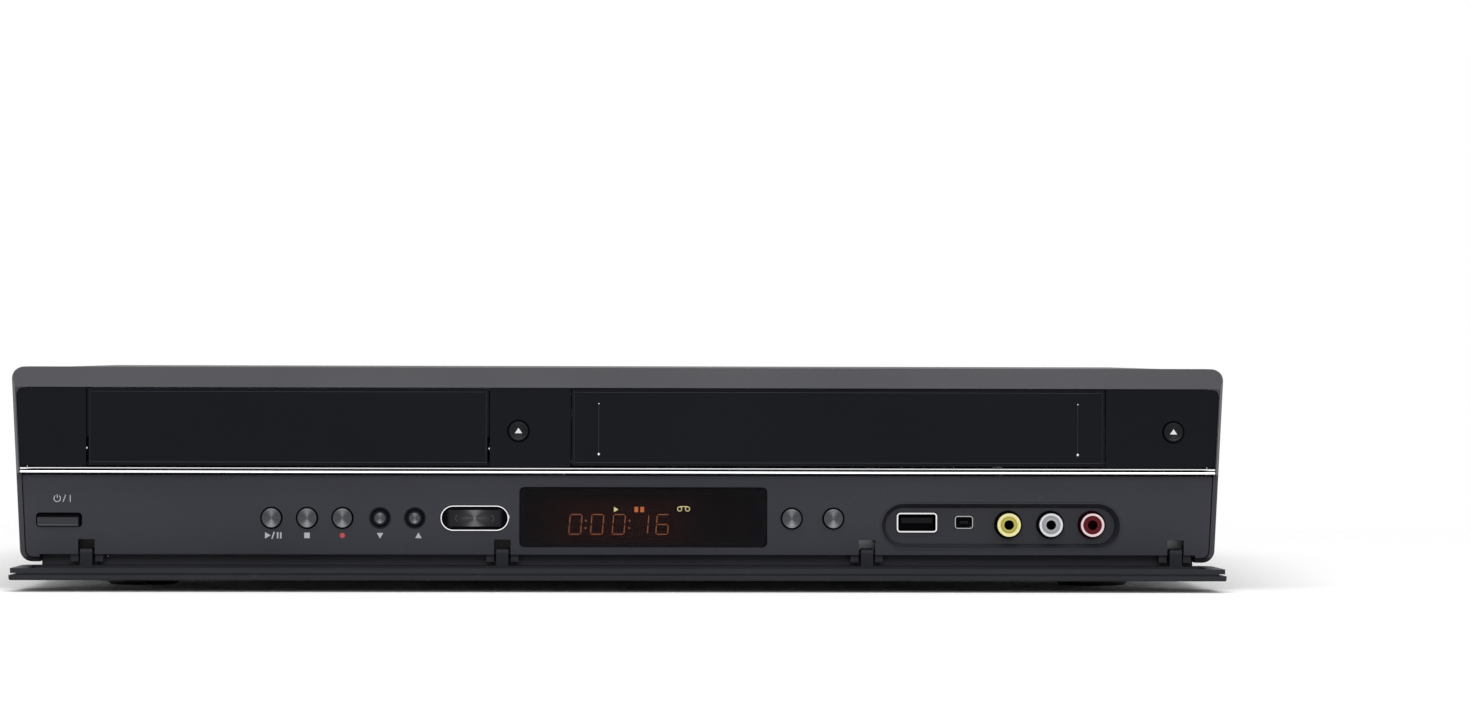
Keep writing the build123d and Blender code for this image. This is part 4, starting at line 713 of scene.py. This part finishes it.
def ejectMark(name, body, x, z, look):
    addMark(name, body, whiteInk, (
        (3, x, look["y"], z - 0.15, look["wide"], look["high"]),), ejectRise)


def addDot(name, body, x, y, z, radius):
    # a small domed pin end
    pickNothing()
    bpy.ops.mesh.primitive_uv_sphere_add(segments=20, ring_count=10, radius=radius * mm,
                                         location=place(x, y, z))
    bpy.context.object.scale = (1.0, 0.6, 1.0)
    bpy.ops.object.transform_apply(location=True, rotation=True, scale=True)
    bpy.ops.object.shade_smooth()
    settle(name, body, materials["polished_steel"])


displayLook = {"y": 6.35, "low": 19.4, "high": 26.4, "line": 0.38, "lean": 0.08, "gap": 0.35, "signs": 28.2}


def digitBars(x, wide, lit, look):
    # the bars of one figure, a to g as on any seven-bar display
    low, high, line = look["low"], look["high"], look["line"]
    middle = (low + high) / 2
    half = (high - low) / 2
    lean = math.tan(look["lean"])
    gap = look["gap"]
    flat = {"a": high, "g": middle, "d": low}
    upright = {"f": (-1, middle + half / 2), "b": (1, middle + half / 2), "e": (-1, middle - half / 2),
               "c": (1, middle - half / 2)}
    bars = []
    for key in lit:
        if key in flat:
            z = flat[key]
            bars.append((4, x + (z - middle) * lean, look["y"], z, wide - 2 * gap, line))
        else:
            side, z = upright[key]
            bars.append((4, x + side * wide / 2 + (z - middle) * lean, look["y"], z, line, half - 2 * gap,
                         look["lean"]))
    return bars


def showDigits(look):
    y, signs, digitWide = look["y"], look["signs"], 4.2
    zero, one, six = "abcdef", "bc", "acdefg"
    for index, (x, lit) in enumerate(((-15.6, zero), (-7.9, zero), (-0.2, zero), (8.1, one), (15.3, six))):
        addMark("digit" + str(index + 1), "casing", digitGlow,
                digitBars(x, digitWide, lit, look), displayRise)
    for index, x in enumerate((-11.9, 3.6)):
        addMark("colon" + str(index + 1), "casing", digitGlow,
                ((12, x, y, 24.2, 0.7, 0.7), (12, x - 0.1, y, 21.6, 0.7, 0.7)), displayRise)
    addMark("runningMark", "casing", playGlow, (
        triangle(-1.4, y, signs, 1.9, quarter),), displayRise)
    addMark("sourceMark", "casing", sourceGlow, (
        (4, 6.0, y, signs, 1.3, 1.9), (4, 8.1, y, signs, 1.3, 1.9)), displayRise)
    # two small spools and the tape between them
    spools = []
    for x in (21.4, 24.2):
        addArc(x, y, signs + 0.2, 0.75, 0.3, 0.0, 2 * math.pi, 24)
        raiseOutline(displayRise)
        spools.append(bpy.context.object)
    addOutline(4, 22.8, y, 29.25, 2.8, 0.3)
    raiseOutline(displayRise)
    spools.append(bpy.context.object)
    joinAll(spools)
    settle("spoolMark", "casing", playGlow)


rockerLook = {"y": lowerFace - capProud, "reach": 6.6, "size": 1.6, "line": 0.28, "slant": 0.6}


def rockerMarks(look):
    # a small angle mark at each end of the wide button, moulded in
    bars = []
    for side in (-1, 1):
        for lean in (-1, 1):
            bars.append((4, dubbingX + side * look["reach"], look["y"],
                         buttonLevel + lean * look["size"] * 0.33,
                         look["line"], look["size"], side * lean * -look["slant"]))
    addMark("rockerMarks", "dubbing_button", materials["button_black"], bars, mouldedRise)


buttonMarks(markLook)
powerMark({"x": powerX - 0.65, "y": lowerFace + 0.02, "z": 31.9, "radius": 1.15, "line": 0.28, "gap": 0.6,
           "slant": 0.36})
ejectMark("discEjectMark", "disc_eject_button", discEjectX, ejectLevel, ejectLook)
ejectMark("tapeEjectMark", "tape_eject_button", tapeEjectX, ejectLevel, ejectLook)
for dotName, dotBody, dotX, dotY, dotZ, dotRadius in (
        ("discDotLeft", "casing", -188.1, 1.1, 49.8, 0.4), ("discDotRight", "casing", -46.1, 1.1, 49.8, 0.4),
        ("tapeDotLeft", "cassette_door", grooveLeft, 0.75, 47.9, 0.5),
        ("tapeDotRight", "cassette_door", grooveRight, 0.75, 47.9, 0.5),
        ("tapeDotLeftHigh", "cassette_door", grooveLeft, 0.8, 65.9, 0.36),
        ("tapeDotRightHigh", "cassette_door", grooveRight, 0.8, 65.9, 0.36),
        ("recessDot", "casing", -181.6, 11.4, 11.3, 0.45)):
    addDot(dotName, dotBody, dotX, dotY, dotZ, dotRadius)
showDigits(displayLook)
rockerMarks(rockerLook)
print("marks and fittings made")

# the room, in metres
roomLook = {"floorHalf": 0.9, "floor": tone(252, 252, 252), "ambient": 0.62, "middle": -0.12,
            "fadeStart": 0.26, "fadeEnd": 0.8}
lampAim = (0.0, -0.1, 0.04)
lampLooks = (
    {"name": "overheadSoftbox", "at": (0.0, -0.55, 1.5), "size": (1.9, 1.2), "watts": 17.0},
    {"name": "frontSoftbox", "at": (0.0, -2.2, 0.75), "size": (1.6, 0.5), "watts": 9.0},
)
cameraLook = {"at": (-0.01227, -1.93706, 0.084245), "turn": -0.02995, "tilt": -0.00171, "lean": 0.00247,
              "focus": 5000.0, "wide": 1470, "sensor": 36.0, "farthest": 20.0}


def makeRoom(look):
    bpy.ops.object.select_all(action="DESELECT")
    bpy.ops.mesh.primitive_plane_add(size=2 * look["floorHalf"], location=(0, 0, -0.0001))
    floor = bpy.context.object
    floor.name = "floor"
    bpy.ops.object.transform_apply(location=True, rotation=True, scale=True)
    finish = Finish("floorPaper", Roughness=0.9, Specular_IOR_Level=0.1)
    fibre = finish.noise(300, 3.0)
    finish.colour(finish.blend(fibre.step(0.3, 0.7), look["floor"], tone(250, 250, 250)))
    away = (finish.x ** 2.0 + (finish.y - look["middle"]) ** 2.0) ** 0.5
    # it thins out into the white room
    finish.feed("Alpha", 1 - away.step(look["fadeStart"], look["fadeEnd"]))
    floor.data.materials.append(finish.material)
    world = bpy.data.worlds.new("room")
    bpy.context.scene.world = world
    world.use_nodes = True
    tree = world.node_tree
    background = next(n for n in tree.nodes if n.type == "BACKGROUND")
    rays = tree.nodes.new("ShaderNodeLightPath")
    seen = tree.nodes.new("ShaderNodeMath")
    seen.operation = "MAXIMUM"
    seenToo = tree.nodes.new("ShaderNodeMath")
    seenToo.operation = "MAXIMUM"
    strength = tree.nodes.new("ShaderNodeMapRange")
    tree.links.new(rays.outputs["Is Camera Ray"], seen.inputs[0])
    tree.links.new(rays.outputs["Is Glossy Ray"], seen.inputs[1])
    tree.links.new(seen.outputs[0], seenToo.inputs[0])
    tree.links.new(rays.outputs["Is Transmission Ray"], seenToo.inputs[1])
    tree.links.new(seenToo.outputs[0], strength.inputs["Value"])
    strength.inputs["To Min"].default_value = look["ambient"]
    strength.inputs["To Max"].default_value = 1.0
    background.inputs["Color"].default_value = (1.0, 1.0, 1.0, 1.0)
    tree.links.new(strength.outputs[0], background.inputs["Strength"])


def makeLamp(look):
    bpy.ops.object.light_add(type="AREA", location=look["at"])
    lamp = bpy.context.object
    lamp.name = look["name"]
    lamp.data.shape = "RECTANGLE"
    lamp.data.size, lamp.data.size_y = look["size"]
    lamp.data.energy = look["watts"]
    aim = Vector(lampAim) - lamp.location
    lamp.rotation_euler = aim.to_track_quat("-Z", "Y").to_euler()


def makeCamera(look):
    turn, tilt, lean = look["turn"], look["tilt"], look["lean"]
    right = Vector((math.cos(turn), math.sin(turn), 0))
    ahead = Vector((-math.sin(turn), math.cos(turn), 0))
    up = Vector((0, 0, 1))
    ahead, up = ahead * math.cos(tilt) + up * math.sin(tilt), up * math.cos(tilt) - ahead * math.sin(tilt)
    right, up = right * math.cos(lean) + up * math.sin(lean), up * math.cos(lean) - right * math.sin(lean)
    bpy.ops.object.camera_add(location=look["at"])
    camera = bpy.context.object
    camera.name = "photoCamera"
    turned = Matrix((right, up, -ahead)).transposed()
    camera.rotation_euler = turned.to_euler()
    camera.data.sensor_width = look["sensor"]
    camera.data.lens = look["focus"] / look["wide"] * look["sensor"]
    camera.data.clip_end = look["farthest"]
    bpy.context.scene.camera = camera


makeRoom(roomLook)
for lampLook in lampLooks:
    makeLamp(lampLook)
makeCamera(cameraLook)
bpy.context.scene.view_settings.view_transform = "Standard"
print("room, lamps and camera ready")
